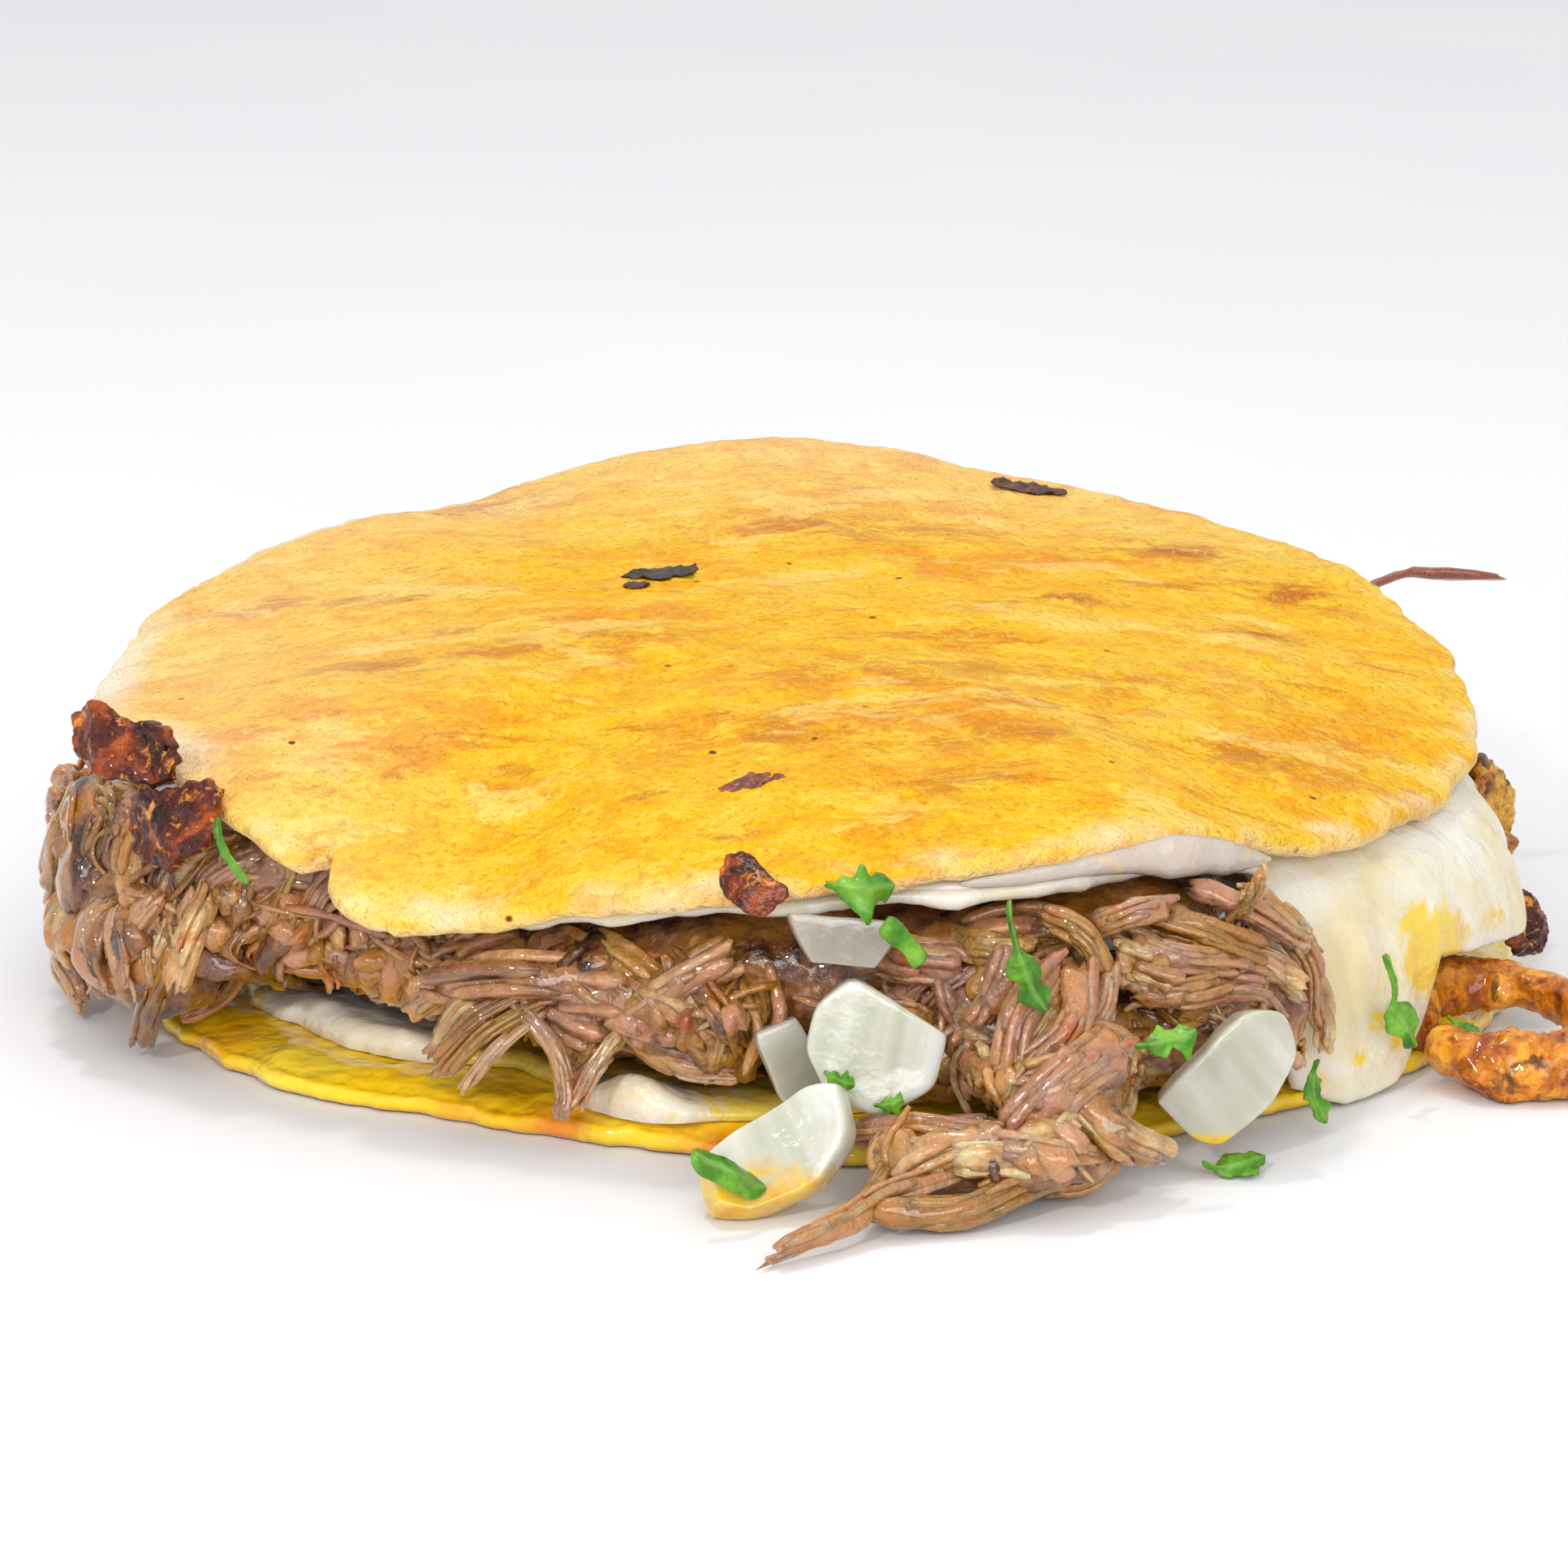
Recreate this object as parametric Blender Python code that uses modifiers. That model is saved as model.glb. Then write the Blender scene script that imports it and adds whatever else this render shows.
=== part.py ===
"""Birria mulita: two griddled corn tortillas with melted cheese and shredded beef between them.

Metres, +Z up. The origin is the middle of the lower tortilla's flat underside, which is what the
mulita rests on. The side where the filling spills out, with its diced onion, faces -Y.
Angles run anticlockwise from +X, seen from above. A rim table holds a value for each 15 degrees.
"""

import math
import random

import bmesh
import bpy
from mathutils import Euler, Vector
from mathutils.bvhtree import BVHTree

MM = 0.001
TABLE_STEP = 15
GOLDEN_ANGLE = 137.508
GOLDEN_SHARE = 0.618

# Driving sizes
GAP = 0.35 * MM
TORTILLA_RADIUS = 70 * MM
TORTILLA_THICKNESS = 2.6 * MM
RIM_BEVEL = 0.8 * MM
TOP_CENTRE_X = -4 * MM
CROWN_HEIGHT = 35 * MM
CROWN_SHARPNESS = 2.2
CHEESE_DROP = 0.8 * MM
CHEESE_THICKNESS = 1.6 * MM
SKIRT_REACH = 62 * MM
CHEESE_FLOOR_THICKNESS = 1.2 * MM
HEAP_FLOOR = 4.7 * MM
HEAP_CEILING_DROP = 5.6 * MM
CORE_INSET = 3.6 * MM
STRAND_SEED = 7
RIM_STRANDS = 46
STRAND_SIDES = 5
STRAND_STATIONS = 4
STRAND_FLATNESS = 0.7
STRAND_TWIST = 0.8
LEAF_THICKNESS = 0.45 * MM

# Colours
MASA_GRIDDLED = (0.93, 0.55, 0.09)
MASA_OILED = (0.9, 0.6, 0.08)
CHEESE = (0.93, 0.88, 0.74)
BEEF = (0.36, 0.2, 0.1)
ONION = (0.84, 0.86, 0.76)
CILANTRO_GREEN = (0.1, 0.3, 0.05)
CRISP_BROWN = (0.35, 0.1, 0.03)
CURL_ORANGE = (0.6, 0.22, 0.03)

# Every table below is in millimetres and degrees
# Height of the upper tortilla's top face along its rim
TOP_RIM_HEIGHTS = (
    27, 29, 33, 34, 35, 38, 40, 38, 35, 34, 32, 30,
    28, 30, 30, 27, 22, 24.6, 26.6, 28, 28.4, 24.8, 24, 25,
)
# Reach of the lower tortilla's outline from the origin
BOTTOM_REACH = (
    70, 69.5, 70.5, 71, 70, 69.5, 70.5, 71, 70.5, 69.5, 70, 70.5,
    70, 71, 71, 70.5, 67.2, 68, 70, 70, 69.5, 69.5, 71, 70.5,
)
# Reach of the shredded beef from half its height up, then at its foot
HEAP_REACH = (
    64, 66, 68, 69, 70, 70, 71, 70, 70, 70, 71, 75,
    77.5, 79, 78, 67, 65, 67.5, 69, 71.5, 70, 60, 60, 60,
)
HEAP_FOOT_REACH = (
    62, 63, 64, 65, 66, 66, 66, 66, 66, 66, 67, 71,
    75, 73, 63, 51, 54, 58, 64, 71, 68, 58, 58, 58,
)
# Lumps of beef that spill over the front and hang at the left: centre, radii
MOUNDS = (
    ((15, -62.5, 13), (12, 6.5, 7.6)),
    ((20, -70, 8.8), (7.6, 9, 5.2)),
    ((15, -79.6, 4.4), (10.5, 5.5, 3.2)),
    ((35, -60.3, 10.5), (9, 4.8, 7)),
    ((-67, -26, 9.6), (8, 12, 6.2)),
    ((-63.5, -37.5, 10.2), (7, 6.5, 6.5)),
)
# Reach of the cheese that lies on the lower tortilla
CHEESE_FLOOR_REACH = (
    62, 60, 63, 61, 64, 62, 60, 63, 62, 61, 63, 60,
    62, 61, 64, 62, 59, 66, 64, 60, 61, 62, 63, 60,
)
# Lower edge of the melted cheese: angle and reach about the upper tortilla's middle, height
CHEESE_EDGE = (
    (-180, 63, None), (-120, 64, None), (-100, 66, None), (-80, 67.5, None), (-60, 68.5, None),
    (-52, 69.5, 12), (-47, 73.6, 4), (-42, 75.4, 1.6), (-37, 75.2, 4), (-31, 73, 9), (-18, 71.5, 10),
    (-9, 69.5, 17), (0, 66, None), (60, 63, None), (120, 64, None), (180, 63, None),
)
# Thicker blobs of the cheese on the lower tortilla: x, y, radius, extra height
CHEESE_BLOBS = ((-17.6, -61.8, 3.4, 1.8), (-45.5, -39, 6, 0.5))
# Slabs of diced onion: centre, turn in degrees, half width, half height, thickness, taper, bend radius
ONIONS = (
    ("onion_dice", (3.9, -73.2, 12.6), (76, 8, 4), 6.0, 5.6, 4.6, -0.12, 26),
    ("onion_wedge", (-4.6, -80.6, 4.9), (48, -24, 14), 7.8, 4.3, 3.2, 0.1, -16),
    ("onion_slice", (35.6, -69.8, 8.6), (80, -38, 14), 7.2, 4.9, 3.4, 0.15, 18),
    ("onion_behind", (-3.4, -67.3, 9.0), (84, 66, 8), 4.6, 2.4, 2.2, 0.1, 18),
    ("onion_upper", (1.0, -71.6, 21.8), (76, 6, 2), 5.8, 2.2, 1.6, 0.1, -20),
)
# Browned crisps of cheese: centre, turn, half width, half height, thickness, waviness
CRISPS = (
    ("crisp_left_upper", (-66.6, -39.4, 31.2), (66, 6, -40), 6.8, 2.9, 2.0, 0.8),
    ("crisp_left_lower", (-61.0, -45.8, 24.4), (70, -16, -38), 5.0, 3.3, 2.0, 0.7),
    ("crisp_right_upper", (67.8, -1.5, 14), (58, -20, 60), 4.8, 4.2, 2.4, 0.9),
    ("crisp_right_tip", (68.8, -22.5, 8.6), (60, 20, 60), 3.2, 2.8, 2.2, 0.8),
    ("crisp_flake", (-7.0, -72.2, 27.0), (66, 38, 6), 3.0, 2.0, 0.8, 0.35),
)
# The curl of fried skirt: centre and radii in mm, turn in degrees, rise for each mm back
CURL_CENTRE = (64.5, -41, 4.2)
CURL_RADII = (8.2, 9.6)
CURL_TURN = 30
CURL_LEAN = 0.14
CURL_HEIGHT = 4.6 * MM
CURL_THICKNESS = 3.2 * MM
# Cilantro: kind, centre, turn, half length, half width
CILANTRO = (
    ("leaf", (2.7, -72.2, 27.0), (66, 8, 20), 3.2, 1.9),
    ("leaf", (16.8, -76.8, 21.8), (82, 72, 10), 5.4, 1.4),
    ("leaf", (29.4, -77.0, 14.4), (60, -14, 6), 2.8, 1.5),
    ("leaf", (53.0, -53.4, 10.2), (84, 68, 42), 5.2, 1.8),
    ("leaf", (44.8, -61.0, 4.2), (80, 80, 34), 3.2, 1.3),
    ("leaf", (36.2, -72.0, 1.4), (20, 6, 24), 3.2, 1.3),
    ("stem", (6.2, -74.8, 22.6), (60, 48, 6), 2.5, 1.0),
    ("strip", (-8.6, -86.2, 5.4), (52, 32, 20), 4.0, 1.3),
    ("strip", (-55.2, -52.2, 24.4), (84, 66, -20), 3.4, 0.8),
)
# Strands of beef that show one by one: width, then the points that the strand runs through
STRANDS = (
    (4.2, ((-36, -59, 14), (-28, -62, 15.5), (-20.5, -62, 15))),
    (2.6, ((-28.5, -60, 14), (-33, -61, 12.5), (-36, -60, 7.5))),
    (2.4, ((-29, -59, 12), (-24.5, -62, 10), (-24, -63, 7.5))),
    (3.0, ((-19.5, -64, 11.5), (-14.5, -66, 15.5), (-9, -66, 18.5))),
    (2.4, ((-19, -61, 13.5), (-21.5, -63, 9.5), (-23.5, -62, 7))),
    (4.0, ((-14.5, -62, 14), (-11.5, -65, 10), (-10, -65, 8))),
    (2.6, ((-8, -64, 9), (-6.5, -65, 13.5), (-8, -62, 17))),
    (3.0, ((-38.5, -54, 10), (-35.5, -56, 12.5), (-33.5, -53, 14))),
    (2.8, ((-32, -54, 14), (-29, -58, 13.5))),
    (4.0, ((2.5, -64, 19), (7, -67, 18.5), (11.5, -67, 18))),
    (3.4, ((16.5, -66, 19.5), (16, -70, 19), (14.5, -71, 15))),
    (3.6, ((20, -70, 18.5), (16.5, -74, 15.5), (15.5, -76, 9))),
    (3.2, ((22, -70, 19), (21, -75, 14.5), (16, -76, 10.5))),
    (3.4, ((21.5, -69, 18), (18.5, -73, 15), (14.5, -75, 9.5))),
    (2.4, ((25, -68, 18), (24, -72, 15), (20, -73, 12.5))),
    (5.2, ((17, -80, 7.5), (21, -79, 11.5), (25, -75, 13))),
    (3.6, ((22, -79, 10), (25.5, -80, 6.5), (29, -77, 4))),
    (2.6, ((2.5, -77, 6), (7.5, -79, 7), (13, -80, 6.5), (17, -78, 6))),
    (2.6, ((8.5, -77, 6), (5.5, -82, 4), (3.5, -87, 2.5))),
    (2.4, ((-4.5, -95, 1.5), (1.5, -90, 2.5), (4.5, -87, 3.5), (10, -84, 4.5), (14, -80, 5.5))),
    (3.2, ((3.5, -88, 2.5), (10.5, -87, 2), (15.5, -84, 3), (21, -80, 4), (25, -76, 5))),
    (3.4, ((35, -60, 17), (39, -60.5, 15.5), (42, -58.5, 11))),
    (4.4, ((25.5, -66, 18.5), (30.5, -67, 17))),
    (3.0, ((38.5, -61, 14), (31.5, -66, 13.5))),
    (3.0, ((11.5, -64, 19.5), (14, -68, 20), (18, -68, 19.5))),
    (3.0, ((27.5, -67, 15.5), (32.5, -67, 15.5), (38, -61, 15.5))),
    (3.4, ((-58, -44, 18), (-60, -46, 14), (-61.5, -46, 10))),
    (3.0, ((-63, -43, 17.5), (-66.5, -41, 13), (-69.5, -36, 9))),
    (3.0, ((-72.5, -27, 23.5), (-75, -26, 18), (-76.5, -22, 12.5))),
    (3.0, ((-61.5, -44, 12.5), (-64, -43, 7), (-65.5, -39, 2))),
    (3.0, ((-51.5, -42, 17.5), (-46.5, -44, 17), (-42.5, -46, 15))),
    (3.0, ((-73, -22, 10), (-75.5, -22, 5), (-73, -27, 2.5))),
    (2.0, ((52, 30, 23), (60, 34, 26), (67, 37, 29.5), (75, 38, 30))),
)


def around(table, angle):
    """A smooth closed curve through the table's values, in metres."""
    place = math.degrees(angle) / TABLE_STEP % len(table)
    index = int(place)
    share = place - index
    before, here, after, beyond = (table[(index + k) % len(table)] for k in (-1, 0, 1, 2))
    bend = 2 * before - 5 * here + 4 * after - beyond
    twist = 3 * here - before - 3 * after + beyond
    value = 2 * here + (after - before) * share + bend * share**2 + twist * share**3
    return 0.5 * value * MM


def top_height(x, y):
    """Height of the upper tortilla's top face: a low crown that drops to its uneven rim."""
    angle = math.atan2(y, x - TOP_CENTRE_X)
    share = min(math.hypot(x - TOP_CENTRE_X, y) / TORTILLA_RADIUS, 1.1)
    rim = around(TOP_RIM_HEIGHTS, angle)
    ripple = 0.7 * MM * math.sin(x / (11 * MM) + 1.3) * math.sin(y / (14 * MM)) * share
    return CROWN_HEIGHT + (rim - CROWN_HEIGHT) * share**CROWN_SHARPNESS + ripple


def ceiling(x, y):
    """Height that the beef fills up to, under the upper cheese."""
    return top_height(x, y) - HEAP_CEILING_DROP


def edge_row(angle):
    """Reach and height of the upper cheese's lower edge. A height of None stays under the rim."""
    degrees = (math.degrees(angle) + 180) % 360 - 180
    for low, high in zip(CHEESE_EDGE, CHEESE_EDGE[1:]):
        if low[0] <= degrees <= high[0]:
            share = (degrees - low[0]) / (high[0] - low[0])
            share = share * share * (3 - 2 * share)
            reach = (low[1] + (high[1] - low[1]) * share) * MM
            under = cheese_height(reach, angle)
            ends = [under if row[2] is None else row[2] * MM for row in (low, high)]
            return reach, ends[0] + (ends[1] - ends[0]) * share


def cheese_height(reach, angle):
    """Height of the upper cheese's top face where the tortilla presses on it."""
    x, y = TOP_CENTRE_X + reach * math.cos(angle), reach * math.sin(angle)
    return top_height(x, y) - TORTILLA_THICKNESS - CHEESE_DROP


def new_object(name, form, colour, roughness, collection):
    """A named mesh object with its own material, from a bmesh that is then freed."""
    mesh = bpy.data.meshes.new(name)
    form.to_mesh(mesh)
    form.free()
    mesh.shade_smooth()
    material = bpy.data.materials.new(name)
    material.use_nodes = True
    shader = material.node_tree.nodes["Principled BSDF"]
    shader.inputs["Base Color"].default_value = (*colour, 1)
    shader.inputs["Roughness"].default_value = roughness
    shader.inputs["Metallic"].default_value = 0
    mesh.materials.append(material)
    thing = bpy.data.objects.new(name, mesh)
    collection.objects.link(thing)
    return thing


def disc_form(cells, place):
    """A square grid drawn out to a round sheet. place(share, angle) gives each point."""
    form = bmesh.new()
    bmesh.ops.create_grid(form, x_segments=cells, y_segments=cells, size=1)
    for vertex in form.verts:
        a, b = vertex.co.x, vertex.co.y
        if abs(a) < 1e-6 and abs(b) < 1e-6:
            share, angle = 0.0, 0.0
        elif abs(a) > abs(b):
            share, angle = abs(a), math.pi / 4 * b / a + (math.pi if a < 0 else 0)
        else:
            share, angle = abs(b), math.pi / 2 - math.pi / 4 * a / b + (math.pi if b < 0 else 0)
        vertex.co = place(share, angle)
    return form


def thicken(thing, thickness, offset, bevel):
    """Makes a sheet a solid: offset -1 grows it downwards, 0 both ways. The rim is then bevelled."""
    solidify = thing.modifiers.new("thickness", "SOLIDIFY")
    solidify.thickness = thickness
    solidify.offset = offset
    solidify.use_even_offset = False
    if bevel:
        rim = thing.modifiers.new("rim", "BEVEL")
        rim.width = bevel
        rim.segments = 1
        rim.angle_limit = math.radians(50)


def fill_down(form, floor):
    """Makes a sheet a solid with a flat underside at the floor's height."""
    copied = bmesh.ops.extrude_face_region(form, geom=form.faces[:])["geom"]
    for part in copied:
        if isinstance(part, bmesh.types.BMVert):
            part.co.z = floor
    bmesh.ops.recalc_face_normals(form, faces=form.faces)


def tortilla_top(collection):
    def place(share, angle):
        reach = share * TORTILLA_RADIUS
        x, y = TOP_CENTRE_X + reach * math.cos(angle), reach * math.sin(angle)
        return Vector((x, y, top_height(x, y)))

    disc = new_object("tortilla_top", disc_form(15, place), MASA_GRIDDLED, 0.55, collection)
    thicken(disc, TORTILLA_THICKNESS, -1, RIM_BEVEL)
    return disc


def tortilla_bottom(collection):
    def place(share, angle):
        reach = share * around(BOTTOM_REACH, angle)
        return Vector((reach * math.cos(angle), reach * math.sin(angle), TORTILLA_THICKNESS))

    disc = new_object("tortilla_bottom", disc_form(13, place), MASA_OILED, 0.45, collection)
    thicken(disc, TORTILLA_THICKNESS, -1, RIM_BEVEL)
    return disc


def cheese_upper(collection):
    """The melted cheese under the upper tortilla, with the skirt that runs down on the right."""
    skirt_from = 0.8

    def place(share, angle):
        reach, height = edge_row(angle)
        if share <= skirt_from:
            run = SKIRT_REACH * share / skirt_from
            height = cheese_height(run, angle)
        else:
            fall = (share - skirt_from) / (1 - skirt_from)
            run = SKIRT_REACH + (reach - SKIRT_REACH) * math.sin(fall * math.pi / 2)
            start = cheese_height(SKIRT_REACH, angle)
            height = start + (height - start) * fall**1.6
        return Vector((TOP_CENTRE_X + run * math.cos(angle), run * math.sin(angle), height))

    sheet = new_object("cheese_upper", disc_form(17, place), CHEESE, 0.35, collection)
    thicken(sheet, CHEESE_THICKNESS, -1, 0)
    return sheet


def cheese_lower(collection):
    """The melted cheese on the lower tortilla."""
    def place(share, angle):
        reach = share * around(CHEESE_FLOOR_REACH, angle)
        spot = Vector((reach * math.cos(angle), reach * math.sin(angle), 0))
        spot.z = TORTILLA_THICKNESS + GAP + CHEESE_FLOOR_THICKNESS
        for x, y, radius, height in CHEESE_BLOBS:
            away = math.hypot(spot.x / MM - x, spot.y / MM - y) / radius
            spot.z += height * MM * math.exp(-away * away)
        return spot

    form = disc_form(12, place)
    fill_down(form, TORTILLA_THICKNESS + GAP)
    return new_object("cheese_lower", form, CHEESE, 0.35, collection)


def slab_form(cells, half_width, half_height, taper, bend_radius):
    """A rounded oblong sheet in its own XY plane, wider at one end and bent across its width."""
    def place(share, angle):
        squareness = 3.6
        cos, sin = math.cos(angle), math.sin(angle)
        grow = (abs(cos) ** squareness + abs(sin) ** squareness) ** (-1 / squareness)
        x, y = half_width * share * grow * cos, half_height * share * grow * sin
        x *= 1 + taper * y / half_height
        return Vector((x, y, -x * x / (2 * bend_radius)))

    return disc_form(cells, place)


def set_in_place(thing, centre, turn):
    thing.location = Vector(centre) * MM
    thing.rotation_euler = Euler([math.radians(t) for t in turn])


def onions(collection):
    made = []
    for name, centre, turn, half_width, half_height, thickness, taper, bend in ONIONS:
        form = slab_form(4, half_width * MM, half_height * MM, taper, bend * MM)
        slab = new_object(name, form, ONION, 0.25, collection)
        thicken(slab, thickness * MM, 0, 0.5 * MM)
        set_in_place(slab, centre, turn)
        made.append(slab)
    return made


def crisps(collection):
    made = []
    for name, centre, turn, half_width, half_height, thickness, wave in CRISPS:
        form = slab_form(4, half_width * MM, half_height * MM, 0.15, 40 * MM)
        for vertex in form.verts:
            x, y = vertex.co.x / MM, vertex.co.y / MM
            vertex.co.z += wave * MM * math.sin(1.1 * x + 0.6 * y + centre[0])
            vertex.co.y += 0.12 * half_height * MM * math.sin(1.9 * x + centre[1])
        crisp = new_object(name, form, CRISP_BROWN, 0.45, collection)
        thicken(crisp, thickness * MM, 0, 0)
        set_in_place(crisp, centre, turn)
        made.append(crisp)
    return made


def tube_form(points, width, thickness, sides, stations, twist, seed):
    """A tapered flat tube along a smooth line through points, its broad side turned outwards."""
    form = bmesh.new()
    bmesh.ops.create_cone(form, cap_ends=True, segments=sides, radius1=1, radius2=1, depth=1)
    length_edges = [e for e in form.edges if abs(e.verts[0].co.z - e.verts[1].co.z) > 0.5]
    bmesh.ops.subdivide_edges(form, edges=length_edges, cuts=stations - 1)
    centre = sum(points, Vector()) / len(points)
    outward = Vector((centre.x, centre.y, 0)).normalized()
    for vertex in form.verts:
        share = vertex.co.z + 0.5
        here = along(points, share)
        ahead = (along(points, share + 0.02) - along(points, share - 0.02)).normalized()
        side = ahead.cross(outward).normalized()
        face = side.cross(ahead)
        angle = math.atan2(vertex.co.y, vertex.co.x) + twist * (share - 0.5)
        swell = 0.62 + 0.38 * math.sin(math.pi * min(max(share, 0.06), 0.94)) ** 0.6
        swell *= 1 + 0.14 * math.sin(7 * share + seed)
        across = side * math.cos(angle) * width / 2 + face * math.sin(angle) * thickness / 2
        vertex.co = here + across * swell
    bmesh.ops.recalc_face_normals(form, faces=form.faces)
    return form


def along(points, share):
    """A point on the smooth line through points, with its ends run straight on."""
    count = len(points) - 1
    place = share * count
    index = min(max(int(place), 0), count - 1)
    local = place - index
    before = points[index - 1] if index else 2 * points[0] - points[1]
    after = points[index + 2] if index + 2 <= count else 2 * points[-1] - points[-2]
    here, there = points[index], points[index + 1]
    bend = 2 * before - 5 * here + 4 * there - after
    turn = 3 * here - before - 3 * there + after
    return 0.5 * (2 * here + (there - before) * local + bend * local**2 + turn * local**3)


def crisp_curl(collection):
    """A curl of fried cheese skirt that lies against the rim, open towards the tortilla."""
    points = []
    for step in range(11):
        angle = math.radians(-178 + step * 30)
        x, y = CURL_RADII[0] * math.cos(angle), CURL_RADII[1] * math.sin(angle)
        turn = math.radians(CURL_TURN)
        right = x * math.cos(turn) - y * math.sin(turn)
        back = x * math.sin(turn) + y * math.cos(turn)
        point = Vector(CURL_CENTRE) + Vector((right, back, CURL_LEAN * back))
        points.append(point * MM)
    form = tube_form(points, CURL_HEIGHT, CURL_THICKNESS, 6, 18, 0.6, 0)
    return new_object("crisp_curl", form, CURL_ORANGE, 0.5, collection)


def cilantro(collection):
    """Chopped cilantro as thin wavy leaves, with one short stem."""
    made = []
    for index, (kind, centre, turn, half_length, half_width) in enumerate(CILANTRO, 1):
        name = f"cilantro_{index}"
        if kind == "stem":
            line = [Vector((s * half_length, 0.2 * (1 - abs(s)), 0)) * MM for s in (-1, 0, 1)]
            form = tube_form(line, 2 * half_width * MM, 1.8 * half_width * MM, 6, 3, 0, 0)
        else:
            def place(share, angle, a=half_length, b=half_width, kind=kind):
                lobes = 1 + (0.22 * math.cos(5 * angle) if kind == "leaf" else 0)
                x = a * share * lobes * math.cos(angle)
                y = b * share * lobes * math.sin(angle)
                return Vector((x, y, 0.35 * math.sin(1.2 * x))) * MM

            form = disc_form(4, place)
        leaf = new_object(name, form, CILANTRO_GREEN, 0.5, collection)
        if kind != "stem":
            thicken(leaf, LEAF_THICKNESS, 0, 0)
        set_in_place(leaf, centre, turn)
        made.append(leaf)
    return made


def heap_reach(angle, share):
    """Reach of the heap at a share of its height, drawn in towards its foot."""
    belly = around(HEAP_REACH, angle)
    if share >= 0.5:
        return belly
    foot = around(HEAP_FOOT_REACH, angle)
    rise = max(share, 0) * 2
    return foot + (belly - foot) * rise * (2 - rise)


def heap_point(angle, height, outward):
    """A point on the heap's side. outward is how far it stands proud."""
    reach = around(HEAP_REACH, angle)
    low, high = HEAP_FLOOR, ceiling(reach * math.cos(angle), reach * math.sin(angle))
    share = (height - low) / (high - low)
    reach = heap_reach(angle, share) + outward - 3.5 * MM * (2 * share - 1) ** 2
    return Vector((reach * math.cos(angle), reach * math.sin(angle), height))


def rim_strand(draw, index):
    """One strand on the heap's side, by a golden-angle rule: its width and its line."""
    angle = math.radians(index * GOLDEN_ANGLE)
    reach = around(HEAP_REACH, angle)
    low = HEAP_FLOOR + 1.6 * MM
    high = ceiling(reach * math.cos(angle), reach * math.sin(angle)) - 1.6 * MM
    middle = low + (high - low) * (0.12 + 0.76 * (index * GOLDEN_SHARE % 1))
    length = draw.uniform(13, 26) * MM
    lean = math.radians(draw.uniform(-75, 75))
    width = draw.uniform(2.6, 4.6) * MM
    outward = draw.uniform(-1.6, 0.6) * MM
    dips = [draw.uniform(1.0, 4.0) * MM for _ in range(2)]
    points = []
    for step in range(4):
        run = (step / 3 - 0.5) * length
        height = min(max(middle + run * math.sin(lean), low), high)
        dip = dips[0] if step == 0 else dips[1] if step == 3 else 0
        points.append(heap_point(angle + run * math.cos(lean) / reach, height, outward - dip))
    return width, points


def core_form(sides=36, rings=8):
    """The packed middle of the filling, between the two layers of cheese."""
    form = bmesh.new()
    bmesh.ops.create_uvsphere(form, u_segments=sides, v_segments=rings, radius=1)
    for vertex in form.verts:
        angle = math.atan2(vertex.co.y, vertex.co.x)
        flat = math.hypot(vertex.co.x, vertex.co.y)
        level = math.copysign(abs(vertex.co.z) ** 0.5, vertex.co.z)
        lump = 1.2 * MM * math.sin(9 * angle + 3 * vertex.co.z) * flat
        reach = (heap_reach(angle, 0.5 + level / 2) - CORE_INSET + lump) * flat**0.5
        x, y = reach * math.cos(angle), reach * math.sin(angle)
        low, high = HEAP_FLOOR, ceiling(x, y)
        vertex.co = Vector((x, y, (low + high) / 2 + level * (high - low) / 2))
    return form


def mound_form(centre, radii):
    """A rounded lump of beef."""
    form = bmesh.new()
    bmesh.ops.create_uvsphere(form, u_segments=12, v_segments=6, radius=1)
    for vertex in form.verts:
        spread = Vector((vertex.co.x * radii[0], vertex.co.y * radii[1], vertex.co.z * radii[2]))
        vertex.co = (Vector(centre) + spread) * MM
    return form


def strand_form(line, width, number, margin=0.0):
    """One strand of beef. margin makes it thicker all round, to test its clearance."""
    thickness = STRAND_FLATNESS * width + 2 * margin
    width += 2 * margin
    return tube_form(line, width, thickness, STRAND_SIDES, STRAND_STATIONS, STRAND_TWIST, number)


def birria_filling(collection, neighbours):
    """The beef: a packed core with the strands that show fused on, clear of everything else."""
    pieces = bpy.data.collections.new("strands")
    bpy.context.scene.collection.children.link(pieces)
    trees = [tree_of(thing) for thing in neighbours]
    core = new_object("birria_filling", core_form(), BEEF, 0.4, collection)
    for centre, radii in MOUNDS:
        new_object("mound", mound_form(centre, radii), BEEF, 0.4, pieces)
    draw = random.Random(STRAND_SEED)
    lines = [(width * MM, [Vector(p) * MM for p in line]) for width, line in STRANDS]
    lines += [rim_strand(draw, index) for index in range(RIM_STRANDS)]
    for number, (width, line) in enumerate(lines):
        fat = strand_form(line, width, number, GAP)
        tree = BVHTree.FromBMesh(fat)
        fat.free()
        if not any(tree.overlap(other) for other in trees):
            new_object(f"strand_{number}", strand_form(line, width, number), BEEF, 0.4, pieces)
    join = core.modifiers.new("join", "BOOLEAN")
    join.operation = "UNION"
    join.operand_type = "COLLECTION"
    join.collection = pieces
    join.solver = "EXACT"
    apply_modifiers(core)
    for piece in list(pieces.objects):
        bpy.data.objects.remove(piece)
    bpy.data.collections.remove(pieces)
    drop_scraps(core)
    return core


def tree_of(thing):
    """A search tree of an object's finished surface, in world space."""
    graph = bpy.context.evaluated_depsgraph_get()
    graph.update()
    form = bmesh.new()
    form.from_object(thing, graph)
    form.transform(thing.matrix_world)
    tree = BVHTree.FromBMesh(form)
    form.free()
    return tree


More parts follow.
